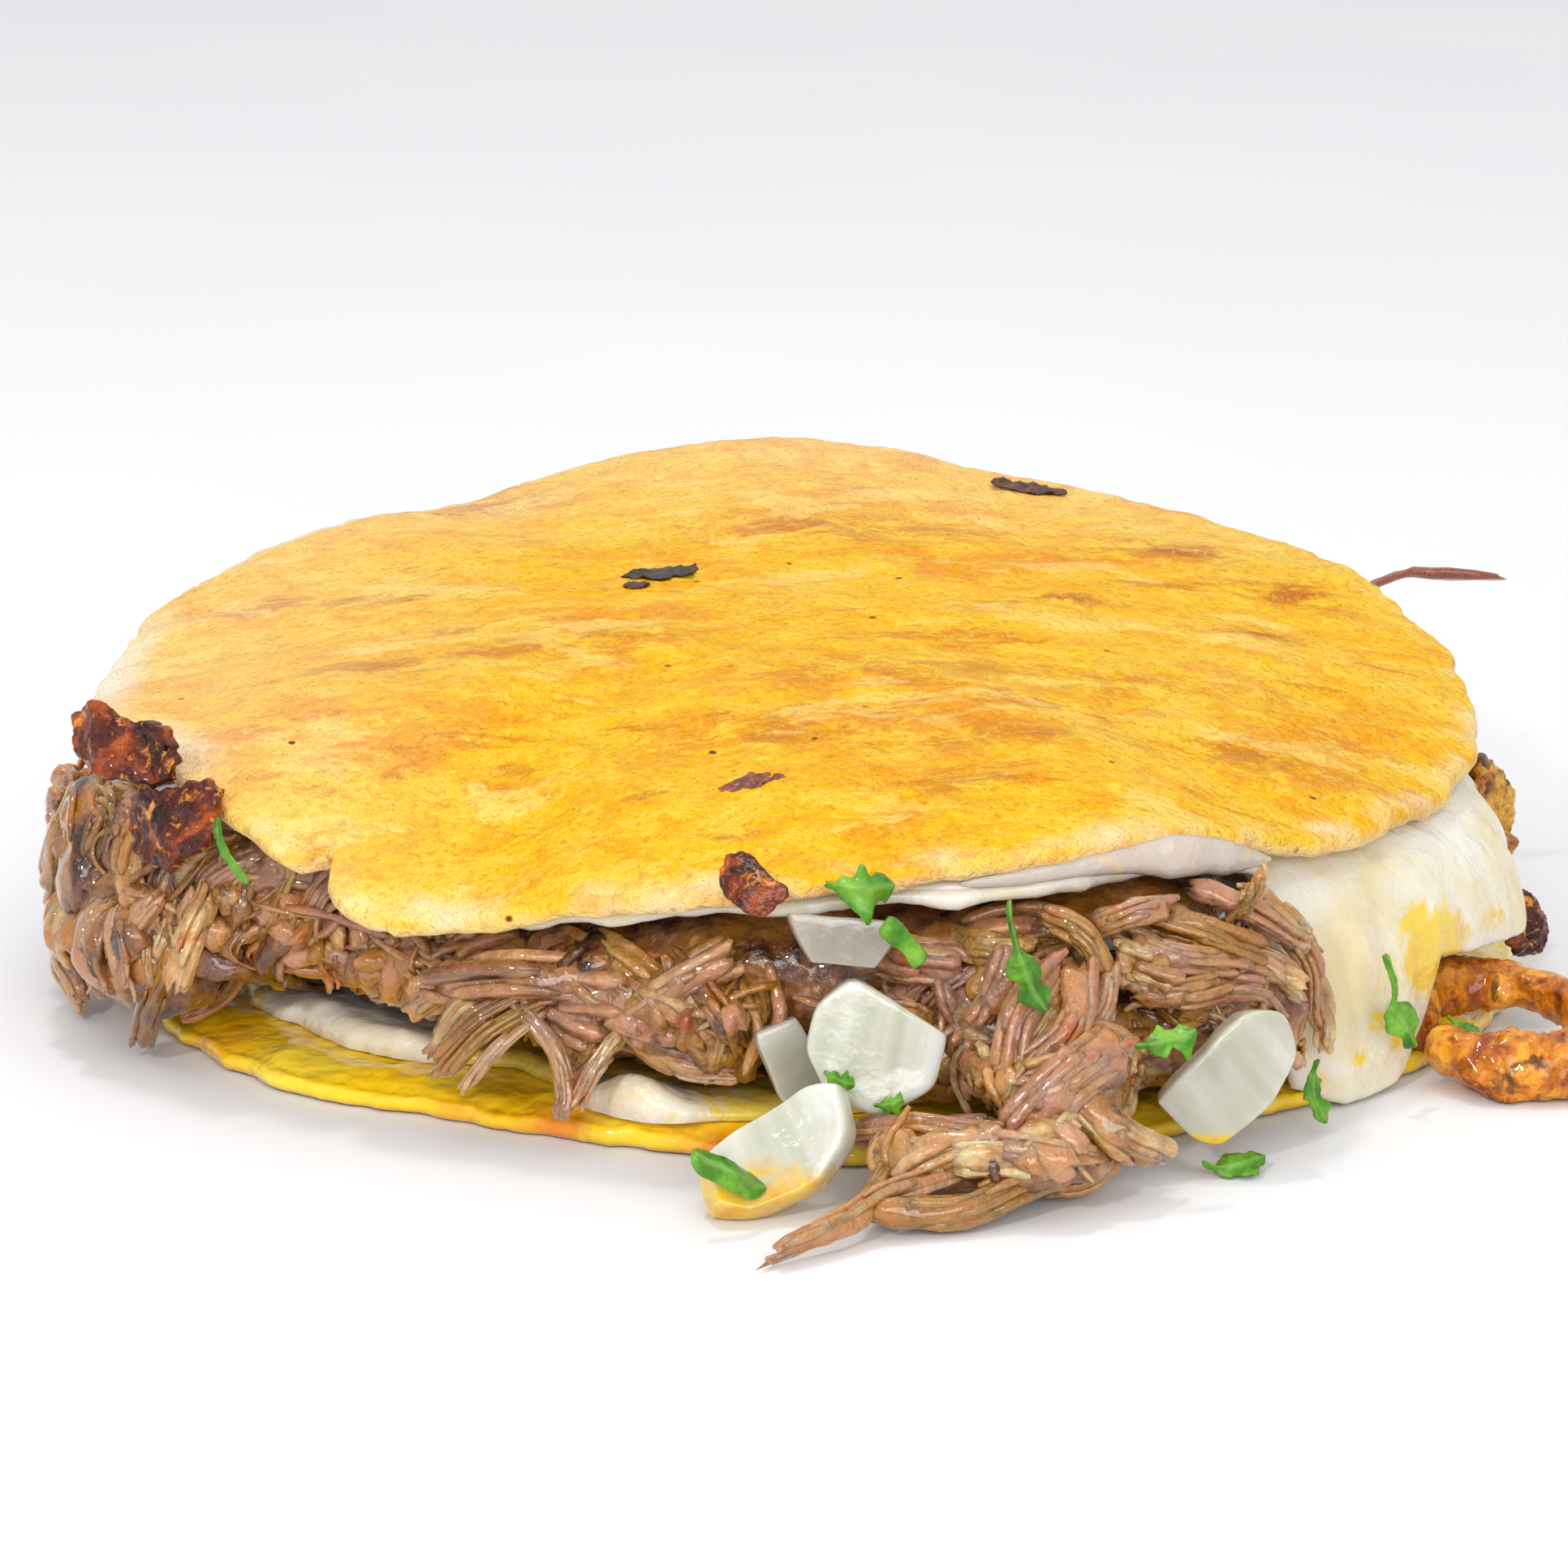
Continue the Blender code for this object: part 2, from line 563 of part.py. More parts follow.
def apply_modifiers(thing):
    graph = bpy.context.evaluated_depsgraph_get()
    graph.update()
    mesh = bpy.data.meshes.new_from_object(thing.evaluated_get(graph))
    thing.modifiers.clear()
    thing.data = mesh


def drop_scraps(thing):
    """Keeps only the largest connected body of a mesh."""
    form = bmesh.new()
    form.from_mesh(thing.data)
    bmesh.ops.triangulate(form, faces=form.faces)
    unseen = set(form.verts)
    bodies = []
    while unseen:
        body, edge = set(), [unseen.pop()]
        while edge:
            vertex = edge.pop()
            body.add(vertex)
            near = {e.other_vert(vertex) for e in vertex.link_edges} & unseen
            unseen -= near
            edge.extend(near)
        bodies.append(body)
    bodies.sort(key=len, reverse=True)
    scraps = [vertex for body in bodies[1:] for vertex in body]
    bmesh.ops.delete(form, geom=scraps, context="VERTS")
    form.to_mesh(thing.data)
    form.free()


def main():
    for thing in list(bpy.data.objects):
        bpy.data.objects.remove(thing)
    mulita = bpy.data.collections.new("birria_mulita")
    bpy.context.scene.collection.children.link(mulita)
    around_the_beef = [tortilla_top(mulita), tortilla_bottom(mulita)]
    around_the_beef += [cheese_upper(mulita), cheese_lower(mulita), crisp_curl(mulita)]
    around_the_beef += onions(mulita) + crisps(mulita) + cilantro(mulita)
    bpy.context.view_layer.update()
    birria_filling(mulita, around_the_beef)


main()
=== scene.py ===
"""Metres, +Z up, in the CAD's own frame. The tables of the layers, the beef, the onion, the crisps and
the cilantro repeat the model's. Every soft node gets a finer piece here, in the same place.
Angles run anticlockwise from +X, seen from above. A rim table holds a value for each 15 degrees.
"""

import math
import random

import bmesh
import bpy
import numpy as np
from mathutils import Euler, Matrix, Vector, noise
from mathutils.bvhtree import BVHTree


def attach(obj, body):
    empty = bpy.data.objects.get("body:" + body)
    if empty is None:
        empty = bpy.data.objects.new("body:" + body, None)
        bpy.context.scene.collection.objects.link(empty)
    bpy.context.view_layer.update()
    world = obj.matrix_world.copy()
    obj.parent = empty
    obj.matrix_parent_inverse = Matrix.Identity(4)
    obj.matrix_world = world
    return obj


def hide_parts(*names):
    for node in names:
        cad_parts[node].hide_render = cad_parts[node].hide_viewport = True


MM = 0.001
TABLE_STEP = 15
GOLDEN_ANGLE = 137.508
GOLDEN_SHARE = 0.618

# Driving sizes of the model
TORTILLA_RADIUS = 70 * MM
TORTILLA_THICKNESS = 2.6 * MM
TOP_CENTRE_X = -4 * MM
CROWN_HEIGHT = 35 * MM
CROWN_SHARPNESS = 2.2
CHEESE_DROP = 0.8 * MM
CHEESE_THICKNESS = 1.6 * MM
SKIRT_REACH = 62 * MM
SKIRT_FROM = 0.8
CHEESE_FLOOR_THICKNESS = 1.2 * MM
LAYER_GAP = 0.35 * MM
HEAP_FLOOR = 4.7 * MM
HEAP_CEILING_DROP = 5.6 * MM
CORE_INSET = 3.4 * MM
LEAF_THICKNESS = 0.3 * MM
GROUND_CLEARANCE = 0.2 * MM

# The photograph's view: fitted distance, aim and angles
CAMERA_DISTANCE = 500 * MM
CAMERA_ELEVATION = 15
CAMERA_FIELD = 18.3
CAMERA_AIM = Vector((-4.1, 0, 16.97)) * MM

# Studio lights in metres and watts: name, place, aim, size, power, colour
WARM_WHITE = (1.0, 0.985, 0.96)
LIGHTS = (
    ("ceiling", (0, 0.8, 2.5), (0, 0.8, 0), (4.0, 4.6), 30.0, (1.0, 0.99, 0.97)),
    ("overhead", (-0.12, 0.12, 0.7), (0, 0, 0), (0.09, 0.06), 0.9, WARM_WHITE),
    ("glint", (-0.28, -0.62, 0.42), (0, -0.06, 0.01), (0.06, 0.05), 1.5, WARM_WHITE),
    ("front", (0.4, -2.0, 0.92), (0, 0, 0.02), (1.8, 0.7), 20.5, WARM_WHITE),
)
SKY_COLOUR = (0.97, 0.985, 1.0, 1)
SKY_STRENGTH = 0.66
FLOOR_HALF = 3.0

# Where the beef's strands hang straight down, in degrees round the heap
HANG_ANGLE = 200
HANG_SPREAD = 26
HANG_SIDE = -50

# The beef: its slot and node, and how finely it is shredded. Spans are in degrees round the heap
BEEF_SEED = 11
BEEF_NODE = ("shredded_beef", "birria_filling")
ALL_ROUND = (0, 360)
AT_FRONT = (200, 320)
CHUNKS = 160
BITS = 320
BITS_SPAN = (160, 330)
BITS_SIZES = (0.6, 1.8)
MOUND_STRANDS = 30
# Single strands: piece, count, span, widths, lengths, how far they stand out, sides, stations
STRAND_LAYERS = (
    ("beef_strands", 400, ALL_ROUND, (1.2, 3.6), (6, 16), (-2.0, 0.2), 8, 12),
    ("beef_fibres", 240, ALL_ROUND, (0.5, 1.0), (4, 11), (-0.8, 0.6), 5, 8),
    ("beef_threads", 180, AT_FRONT, (0.4, 1.0), (3, 10), (-0.6, 0.8), 5, 9),
)
# The spill is paler in front of this line
PALE_SPILL = 0.12
SPILL_FRONT = -65
CLEARANCE = 0.25 * MM

# Every table below is in millimetres and degrees
TOP_RIM_HEIGHTS = (
    27, 29, 33, 34, 35, 38, 40, 38, 35, 34, 32, 30,
    28, 30, 30, 27, 22, 24.6, 26.6, 28, 28.4, 24.8, 24, 25,
)
BOTTOM_REACH = (
    70, 69.5, 70.5, 71, 70, 69.5, 70.5, 71, 70.5, 69.5, 70, 70.5,
    70, 71, 71, 70.5, 67.2, 68, 70, 70, 69.5, 69.5, 71, 70.5,
)
HEAP_REACH = (
    64, 66, 68, 69, 70, 70, 71, 70, 70, 70, 71, 75,
    77.5, 79, 78, 67, 65, 67.5, 69, 71.5, 70, 60, 60, 60,
)
HEAP_FOOT_REACH = (
    62, 63, 64, 65, 66, 66, 66, 66, 66, 66, 67, 71,
    75, 73, 63, 51, 54, 58, 64, 71, 68, 58, 58, 58,
)
MOUNDS = (
    ((15, -62.5, 13), (12, 6.5, 7.6)),
    ((20, -70, 8.8), (7.6, 9, 5.2)),
    ((15, -79.6, 4.4), (10.5, 5.5, 3.2)),
    ((35, -60.3, 10.5), (9, 4.8, 7)),
    ((-67, -26, 9.6), (8, 12, 6.2)),
    ((-63.5, -37.5, 10.2), (7, 6.5, 6.5)),
)
CHEESE_FLOOR_REACH = (
    62, 60, 63, 61, 64, 62, 60, 63, 62, 61, 63, 60,
    62, 61, 64, 62, 59, 66, 64, 60, 61, 62, 63, 60,
)
# The upper cheese's edge: angle, reach and height. None keeps it up under the tortilla
CHEESE_EDGE = (
    (-180, 63, None), (-120, 64, None), (-100, 66, None), (-86, 67.4, None), (-76, 69.2, None),
    (-51.5, 69.4, None), (-49, 72.6, 3), (-45, 75, 1.2), (-40.5, 75.4, 1.4), (-37, 75, 5),
    (-33.5, 74.6, 11.5), (-27, 76, 10.6), (-20, 76.8, 9.6), (-15, 74.6, 13), (-9, 70.5, 16),
    (-3, 66, None), (60, 63, None), (120, 64, None), (180, 63, None),
)
# The bead of cheese that swells out under the front right rim: first and last angle, middle, spread
CHEESE_BEAD = (-77, -50, -58, 6.5)
# Where the upper cheese shows fresh and unstained at the front
LIP_ANGLE = -66
# Where the lower cheese runs further out: angle, spread, depth
CHEESE_TONGUES = ((-105.5, 6, 2.4), (-131, 9, 2))
# Blobs on the lower cheese: x, y, spread, height
CHEESE_BLOBS = ((-17.8, -63.6, 3.8, 2.6), (-45.5, -41, 6, 1.0), (-40, -47, 3, 1.2), (-49, -36, 3, 0.9))
# Onion pieces: name, centre, turn, thickness, radius of the bend
ONIONS = (
    ("onion_dice", (3.9, -73.2, 12.6), (76, 8, 4), 4.6, 26),
    ("onion_wedge", (-4.6, -80.6, 4.9), (48, -24, 14), 3.2, -16),
    ("onion_slice", (35.6, -69.8, 8.6), (80, -38, 14), 3.4, 18),
    ("onion_behind", (-3.4, -67.3, 9.0), (84, 66, 8), 2.2, 18),
    ("onion_upper", (1.0, -71.6, 21.8), (76, 6, 2), 1.6, -20),
)
# Corners of each onion piece in its own plane
ONION_CORNERS = {
    "onion_dice": ((-2.8, 6.1), (6.1, 1.7), (5.4, -3), (0.8, -6.1), (-3.7, -4.7), (-6.1, -1.2), (-5.5, 3.1)),
    "onion_wedge": ((-7.4, -2.4), (-6.6, 2.4), (-2.8, 3.6), (5.4, 4), (7.9, 2.6), (6.6, -1.8),
                    (2, -4.4), (-5.2, -4)),
    "onion_slice": ((4.9, 3.7), (7.6, 1.2), (5.9, -2.3), (1.3, -4.2), (-4.4, -4.3), (-5.9, -1.9),
                    (-6.2, 2.6), (1.8, 4)),
    "onion_behind": ((-4.2, -2), (-3.8, 2.2), (3.9, 2.4), (4.4, -1.2), (2, -2.4)),
    "onion_upper": ((-5.4, 2.1), (5.6, 2.2), (3.3, -2.2), (-2.6, -2.2)),
}
# How high fat has stained an onion piece, and how clear the others are
ONION_STAINS = {"onion_wedge": 6.4, "onion_slice": 1.6}
ONION_CLEARNESS = {"onion_upper": 0.7, "onion_slice": 0.25, "onion_behind": 0.2}
# Crisps: name, centre, turn, half width, half height, thickness, wave
CRISPS = (
    ("crisp_left_upper", (-66.6, -39.4, 31.2), (66, 6, -40), 6.9, 3.0, 1.5, 0.5),
    ("crisp_left_lower", (-61.4, -45.4, 25.0), (70, -16, -38), 5.6, 3.7, 1.5, 0.5),
    ("crisp_right_upper", (67.8, -1.5, 14), (58, -20, 60), 4.8, 4.2, 2.4, 0.9),
    ("crisp_right_tip", (68.8, -22.5, 8.6), (60, 20, 60), 3.2, 2.8, 2.2, 0.8),
    ("crisp_flake", (-7.0, -72.2, 27.0), (66, 38, 6), 3.0, 2.0, 0.8, 0.35),
)
# Colours of the crisps: material, then from dark to light
CRISP_COLOURS = (
    ("crisp_dark", "2A0A03", "60200A", "A84A12"),
    ("crisp_golden", "5A2A10", "AC6A1E", "E0B048"),
    ("crisp_orange", "90400E", "CE7A1A", "EFA636"),
)
# The curl: a ring of fried cheese, turned and leaning back
CURL_CENTRE = (64.5, -41, 4.2)
CURL_RADII = (8.2, 9.6)
CURL_TURN = 30
CURL_LEAN = 0.14
CURL_HEIGHT = 6.0 * MM
CURL_THICKNESS = 4.6 * MM
# Cilantro: kind, centre, turn, half length, half width
CILANTRO = (
    ("leaf", (2.7, -72.2, 27.0), (66, 8, 20), 3.2, 1.9),
    ("sprig", (16.8, -76.8, 21.8), (82, 72, 10), 5.4, 1.5),
    ("leaf", (29.4, -77.0, 14.4), (60, -14, 6), 2.8, 1.5),
    ("sprig", (53.0, -53.4, 10.2), (84, 68, 42), 5.2, 1.7),
    ("leaf", (44.8, -61.0, 4.2), (80, 80, 34), 3.2, 1.3),
    ("leaf", (36.2, -72.0, 1.4), (20, 6, 24), 3.2, 1.3),
    ("stem", (6.2, -74.8, 22.6), (60, 48, 6), 2.5, 1.0),
    ("strip", (-8.6, -86.2, 5.4), (52, 32, 20), 4.0, 1.3),
    ("strip", (-55.2, -52.2, 24.4), (84, 66, -20), 3.4, 0.4),
)
# Strands of beef that show one by one: width, then the points that the strand runs through
STRANDS = (
    (4.2, ((-36, -59, 14), (-28, -62, 15.5), (-20.5, -62, 15))),
    (2.6, ((-28.5, -60, 14), (-33, -61, 12.5), (-36, -60, 7.5))),
    (2.4, ((-29, -59, 12), (-24.5, -62, 10), (-24, -63, 7.5))),
    (3.0, ((-19.5, -64, 11.5), (-14.5, -66, 15.5), (-9, -66, 18.5))),
    (2.4, ((-19, -61, 13.5), (-21.5, -63, 9.5), (-23.5, -62, 7))),
    (4.0, ((-14.5, -62, 14), (-11.5, -65, 10), (-10, -65, 8))),
    (2.6, ((-8, -64, 9), (-6.5, -65, 13.5), (-8, -62, 17))),
    (3.0, ((-38.5, -54, 10), (-35.5, -56, 12.5), (-33.5, -53, 14))),
    (2.8, ((-32, -54, 14), (-29, -58, 13.5))),
    (4.0, ((2.5, -64, 19), (7, -67, 18.5), (11.5, -67, 18))),
    (3.4, ((16.5, -66, 19.5), (16, -70, 19), (14.5, -71, 15))),
    (3.6, ((20, -70, 18.5), (16.5, -74, 15.5), (15.5, -76, 9))),
    (3.2, ((22, -70, 19), (21, -75, 14.5), (16, -76, 10.5))),
    (3.4, ((21.5, -69, 18), (18.5, -73, 15), (14.5, -75, 9.5))),
    (2.4, ((25, -68, 18), (24, -72, 15), (20, -73, 12.5))),
    (5.2, ((17, -80, 7.5), (21, -79, 11.5), (25, -75, 13))),
    (3.6, ((22, -79, 10), (25.5, -80, 6.5), (29, -77, 4))),
    (2.6, ((2.5, -77, 6), (7.5, -79, 7), (13, -80, 6.5), (17, -78, 6))),
    (2.6, ((8.5, -77, 6), (5.5, -82, 4), (3.5, -87, 2.5))),
    (2.4, ((-4.5, -95, 1.5), (1.5, -90, 2.5), (4.5, -87, 3.5), (10, -84, 4.5), (14, -80, 5.5))),
    (3.2, ((3.5, -88, 2.5), (10.5, -87, 2), (15.5, -84, 3), (21, -80, 4), (25, -76, 5))),
    (3.4, ((35, -60, 17), (39, -60.5, 15.5), (42, -58.5, 11))),
    (4.4, ((25.5, -66, 18.5), (30.5, -67, 17))),
    (3.0, ((38.5, -61, 14), (31.5, -66, 13.5))),
    (3.0, ((11.5, -64, 19.5), (14, -68, 20), (18, -68, 19.5))),
    (3.0, ((27.5, -67, 15.5), (32.5, -67, 15.5), (38, -61, 15.5))),
    (3.4, ((-58, -44, 18), (-60, -46, 14), (-61.5, -46, 10))),
    (3.0, ((-63, -43, 17.5), (-66.5, -41, 13), (-69.5, -36, 9))),
    (3.0, ((-72.5, -27, 23.5), (-75, -26, 18), (-76.5, -22, 12.5))),
    (3.0, ((-61.5, -44, 12.5), (-64, -43, 7), (-65.5, -39, 2))),
    (3.0, ((-51.5, -42, 17.5), (-46.5, -44, 17), (-42.5, -46, 15))),
    (3.0, ((-73, -22, 10), (-75.5, -22, 5), (-73, -27, 2.5))),
    (1.8, ((50, 30, 25), (58, 34, 29), (64, 36.6, 30.8), (73.5, 38, 30.4))),
)
# Thinner strands: a fan and a fork at the front left, and the ragged pile under the rim at the right
LOOSE_STRANDS = (
    (1.5, ((-27.5, -62, 14.2), (-32, -63.5, 12), (-35.6, -63, 8))),
    (1.3, ((-26.5, -63, 13.4), (-31, -64.4, 11), (-34.4, -64, 7))),
    (1.2, ((-26, -63.4, 12.6), (-29.6, -65, 10), (-32.4, -65, 6.6))),
    (1.4, ((-28, -61.5, 12), (-32.5, -62.5, 9.6), (-35.8, -62, 6))),
    (1.8, ((-28, -63, 12.8), (-24.8, -65, 9.6), (-23.8, -66.4, 5.8), (-24.2, -67.2, 4))),
    (1.5, ((-18.5, -64.5, 10.8), (-21, -66, 8.4), (-22.6, -67, 5.4))),
    (1.2, ((-17, -63.5, 12.6), (-19.6, -65.4, 10.4), (-21.8, -66.4, 7.6))),
    (1.6, ((-10.4, -64.5, 17), (-9.5, -66.5, 13), (-10.5, -66.5, 8.5))),
    (1.3, ((-8, -65, 16), (-6.5, -66.8, 12), (-7.5, -66.8, 8))),
    (1.8, ((-16.5, -63.5, 9.5), (-13, -65.5, 8), (-9, -65.5, 7.5))),
    (1.4, ((-5.5, -65, 17.5), (-4.5, -66.8, 14), (-5.2, -67, 10.5))),
    (3.0, ((29, -63, 21.5), (34, -63.5, 20), (39, -61.6, 17.5))),
    (2.6, ((33, -60, 23.5), (38, -60.5, 21.5), (42.6, -58, 18))),
    (2.4, ((38, -59.5, 23), (41.5, -58.8, 20), (44, -56, 16))),
    (2.4, ((41, -57, 19.5), (44.2, -56.4, 15), (44.6, -56.4, 10))),
    (2.2, ((43, -56, 16), (45.4, -56, 11.5), (45.6, -56.4, 7))),
    (1.6, ((36.6, -61.4, 21), (38.2, -62.4, 23.4), (38.8, -62, 25.4))),
    (2.8, ((27, -65, 20), (31, -66, 18.5), (36, -64, 17.5))),
    (2.2, ((33, -62, 16), (38, -62, 13), (42, -60, 9))),
    (2.6, ((24, -66, 21.5), (27.5, -66.5, 23), (30, -64.5, 22.5))),
    (2.4, ((19, -67, 23), (22.5, -68.4, 21.5), (24.5, -69, 18.5))),
)
# Notches in the upper tortilla's rim: angle, spread, depth
RIM_NOTCHES = (
    (-128, 1.1, 3.4), (-131.5, 3, -0.9), (-122, 5, -1.2), (-148, 4, 0.8), (9, 3, -0.8), (-20, 4, 0.6),
)
# Where the rim's edge curls up or down a little: angle, spread, height
RIM_LIFTS = ((-58, 13, 1.7), (-36, 9, 0.8), (88, 17, 0.9), (122, 7, -0.7), (139, 8, 0.9), (-104, 8, 0.5))
# Where the griddle left the upper tortilla's rim pale: angle, spread, share of its radius, depth, strength
PALE_RIM = ((-179, 17, 0.98, 0.05, 1.0), (-151, 9, 0.97, 0.06, 0.75), (138, 14, 0.99, 0.03, 0.8))
# Browned patches on the upper tortilla: x, y, half sizes, strength
TOASTED = (
    (37, 34, 8, 3.2, 1.0), (25, 9.5, 4, 2.4, 0.9), (0, 36, 12, 6, 0.7), (-44, -17, 6, 4, 0.75),
    (-29, -14, 8, 5, 0.6), (41, -35, 10, 4, 0.7), (17, -41, 10, 4, 0.6), (-3, -39, 12, 4, 0.6),
    (-38, 55, 9, 4, 0.7), (45, 6, 4, 3, 0.9), (51, 21, 5, 3.6, 0.9), (10, -20, 16, 6, 0.45),
    (-20, -8, 9, 5, 0.5), (-44, 13, 8, 5, 0.45), (-50, -43, 5, 3, 0.55), (30, -20, 12, 5, 0.45),
)
# Burnt flecks stuck to the upper tortilla: x, y, turn, half length, half width, how black
FLECKS = (
    (-17, 18, 25, 4.2, 2.4, 0.95), (24, 57.6, -8, 3.8, 1.6, 0.75), (-7.2, -51.8, 15, 2.6, 1.5, 0.25),
    (-19.5, 12.2, 10, 1.4, 0.9, 0.8), (-4.6, -51.4, 60, 1.0, 0.6, 0.2), (20.4, 59, 20, 1.2, 0.7, 0.7),
)
# Orange grease on the lower tortilla: x, y, spread
GREASE_SPOTS = ((-25, -64, 4.5), (-9, -68.5, 5), (-34, -60, 3), (-57, -40, 4), (22, -67, 8))
# Fat stains on the cheese's skirt: x, z, spread, strength
SKIRT_STAINS = (
    (57.4, 12, 3.4, 1.7), (55.4, 15, 1.6, 1.3), (51.4, 7.6, 1.4, 0.9), (49.5, 4.4, 1.2, 0.8),
    (53.6, 5, 1.5, 0.8), (64, 12, 3, 0.6), (46, 3, 1.3, 0.7),
)
# Crumbs of cilantro that lie on the onion and the beef: centre, turn, half length, half width
CILANTRO_CRUMBS = (
    ((0.6, -78.3, 11.2), (76, 30, 20), 1.5, 0.9), ((5.2, -78.0, 8.9), (80, -20, -30), 1.4, 0.8),
    ((70.5, -51.5, 1.2), (20, 10, 20), 2.4, 1.0), ((60, -46, 5.4), (60, 30, -20), 2.0, 0.8),
)


def around(table, angles):
    """A smooth closed curve through the table's values, in metres."""
    values = np.array(table, float)
    place = np.degrees(angles) / TABLE_STEP % len(values)
    index = place.astype(int)
    share = place - index
    before, here, after, beyond = (values[(index + k) % len(values)] for k in (-1, 0, 1, 2))
    bend = 2 * before - 5 * here + 4 * after - beyond
    twist = 3 * here - before - 3 * after + beyond
    return 0.5 * (2 * here + (after - before) * share + bend * share**2 + twist * share**3) * MM


def top_height(x, y):
    """Height of the upper tortilla's top face: a low crown that drops to its uneven rim."""
    angle = np.arctan2(y, x - TOP_CENTRE_X)
    share = np.minimum(np.hypot(x - TOP_CENTRE_X, y) / TORTILLA_RADIUS, 1.1)
    rim = around(TOP_RIM_HEIGHTS, angle)
    for middle, spread, lift in RIM_LIFTS:
        rim = rim + lift * MM * bell(turned(np.degrees(angle) - middle), spread)
    ripple = 0.7 * MM * np.sin(x / (11 * MM) + 1.3) * np.sin(y / (14 * MM)) * share
    return CROWN_HEIGHT + (rim - CROWN_HEIGHT) * share**CROWN_SHARPNESS + ripple


def rough(points, size, seed=0, octaves=3):
    """Smooth random values, about -1 to 1, that change over a distance of size."""
    flat = points.reshape(-1, 3)
    shift = Vector((seed * 17.3, seed * 7.1, seed * 3.7))
    values = [noise.fractal(Vector(p) / size + shift, 1.0, 2.0, octaves) for p in flat]
    return np.array(values).reshape(points.shape[:-1])


def circle(angles):
    """Points of the tortilla's circle."""
    return xyz(np.cos(angles), np.sin(angles), 0) * TORTILLA_RADIUS


def bumps(points, *waves):
    """Uneven offsets in metres. Each wave gives its depth and size in mm, and a seed."""
    return sum(depth * MM * rough(points, size * MM, seed) for depth, size, seed in waves)


def bell(distance, spread):
    """A smooth bump, 1 at no distance, that fades over spread."""
    return np.exp(-((distance / spread) ** 2))


def turned(degrees):
    """Angles in degrees brought to between -180 and 180."""
    return (degrees + 180) % 360 - 180


def shares_of(rows):
    """How far out points lie, as a share of the tortilla's radius."""
    return np.hypot(rows[..., 0] - TOP_CENTRE_X, rows[..., 1]) / TORTILLA_RADIUS


def degrees_of(angles):
    """Angles in radians as degrees between -180 and 180."""
    return turned(np.degrees(angles))


def xyz(x, y, z):
    """Points from their three coordinates."""
    return np.stack(np.broadcast_arrays(x, y, z), axis=-1).astype(float)


def away_from(points, x, y):
    """How far points lie from a place, seen from above, all in mm."""
    return np.hypot(points[..., 0] / MM - x, points[..., 1] / MM - y)


def unit(vectors):
    """Vectors brought to length 1."""
    return vectors / np.maximum(np.linalg.norm(vectors, axis=-1, keepdims=True), 1e-12)


def ball_grid(levels, spokes):
    """Level, angle and radius of the points of a unit ball's rings."""
    angles = np.linspace(0, 2 * math.pi, spokes, endpoint=False)
    level, angle = np.meshgrid(levels, angles, indexing="ij")
    return level, angle, np.sqrt(1 - level**2)


class Heap:
    """Gathers closed surfaces, with values for the shader at each point, and makes one mesh of them."""

    def __init__(self):
        self.points = []
        self.faces = []
        self.marks = {}
        self.count = 0

    def add(self, rows, **marks):
        """rows holds rings of points from one end to the other. Each end is closed with a fan."""
        rows = np.concatenate([rows[..., :2], np.maximum(rows[..., 2:], GROUND_CLEARANCE)], axis=-1)
        stations, sides = rows.shape[:2]
        ids = np.arange(stations * sides).reshape(stations, sides) + self.count
        beside = np.roll(ids, -1, axis=1)
        quads = np.stack([ids[:-1], beside[:-1], beside[1:], ids[1:]], axis=-1).reshape(-1, 4)
        first, last = self.count + stations * sides, self.count + stations * sides + 1
        self.faces += quads.tolist()
        self.faces += [(first, b, a) for a, b in zip(ids[0], beside[0])]
        self.faces += [(last, a, b) for a, b in zip(ids[-1], beside[-1])]
        self.points.append(rows.reshape(-1, 3))
        self.points.append(np.array([rows[0].mean(axis=0), rows[-1].mean(axis=0)]))
        for name, values in marks.items():
            values = np.broadcast_to(values, rows.shape[:2] + np.shape(values)[2:])
            ends = np.array([values[0].mean(axis=0), values[-1].mean(axis=0)])
            flat = values.reshape((-1,) + values.shape[2:])
            self.marks.setdefault(name, []).append(np.concatenate([flat, ends]))
        self.count += stations * sides + 2

    def make(self, name, material, slot, *nodes):
        """The gathered mesh as a piece that rides on the mulita and stands for CAD nodes."""
        mesh = bpy.data.meshes.new(name)
        mesh.from_pydata(np.concatenate(self.points).tolist(), [], self.faces)
        for mark, values in self.marks.items():
            values = np.concatenate(values)
            kind, field = ("FLOAT_VECTOR", "vector") if values.ndim == 2 else ("FLOAT", "value")
            store = mesh.attributes.new(mark, kind, "POINT")
            store.data.foreach_set(field, values.astype(np.float32).ravel())
        return settle(name, mesh, material, slot, *nodes)


def linked(name, data):
    """A new object in the scene."""
    thing = bpy.data.objects.new(name, data)
    bpy.context.scene.collection.objects.link(thing)
    return thing


def settle(name, mesh, material, slot, *nodes):
    """Makes a mesh of closed surfaces a piece, with its faces turned outward."""
    form = bmesh.new()
    form.from_mesh(mesh)
    bmesh.ops.recalc_face_normals(form, faces=form.faces)
    form.to_mesh(mesh)
    form.free()
    return adopt(name, mesh, material, slot, *nodes)


def adopt(name, mesh, material, slot, *nodes):
    """A smooth piece that rides on the one body and may replace CAD nodes."""
    mesh.shade_smooth()
    mesh.materials.clear()
    mesh.materials.append(material)
    thing = linked(name, mesh)
    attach(thing, "root")
    if nodes:
        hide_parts(*nodes)
    return thing


def tone(code):
    """A linear colour from a hex code such as FFC82E."""
    parts = [int(code[i:i + 2], 16) / 255 for i in (0, 2, 4)]
    return tuple(p / 12.92 if p <= 0.04045 else ((p + 0.055) / 1.055) ** 2.4 for p in parts) + (1.0,)


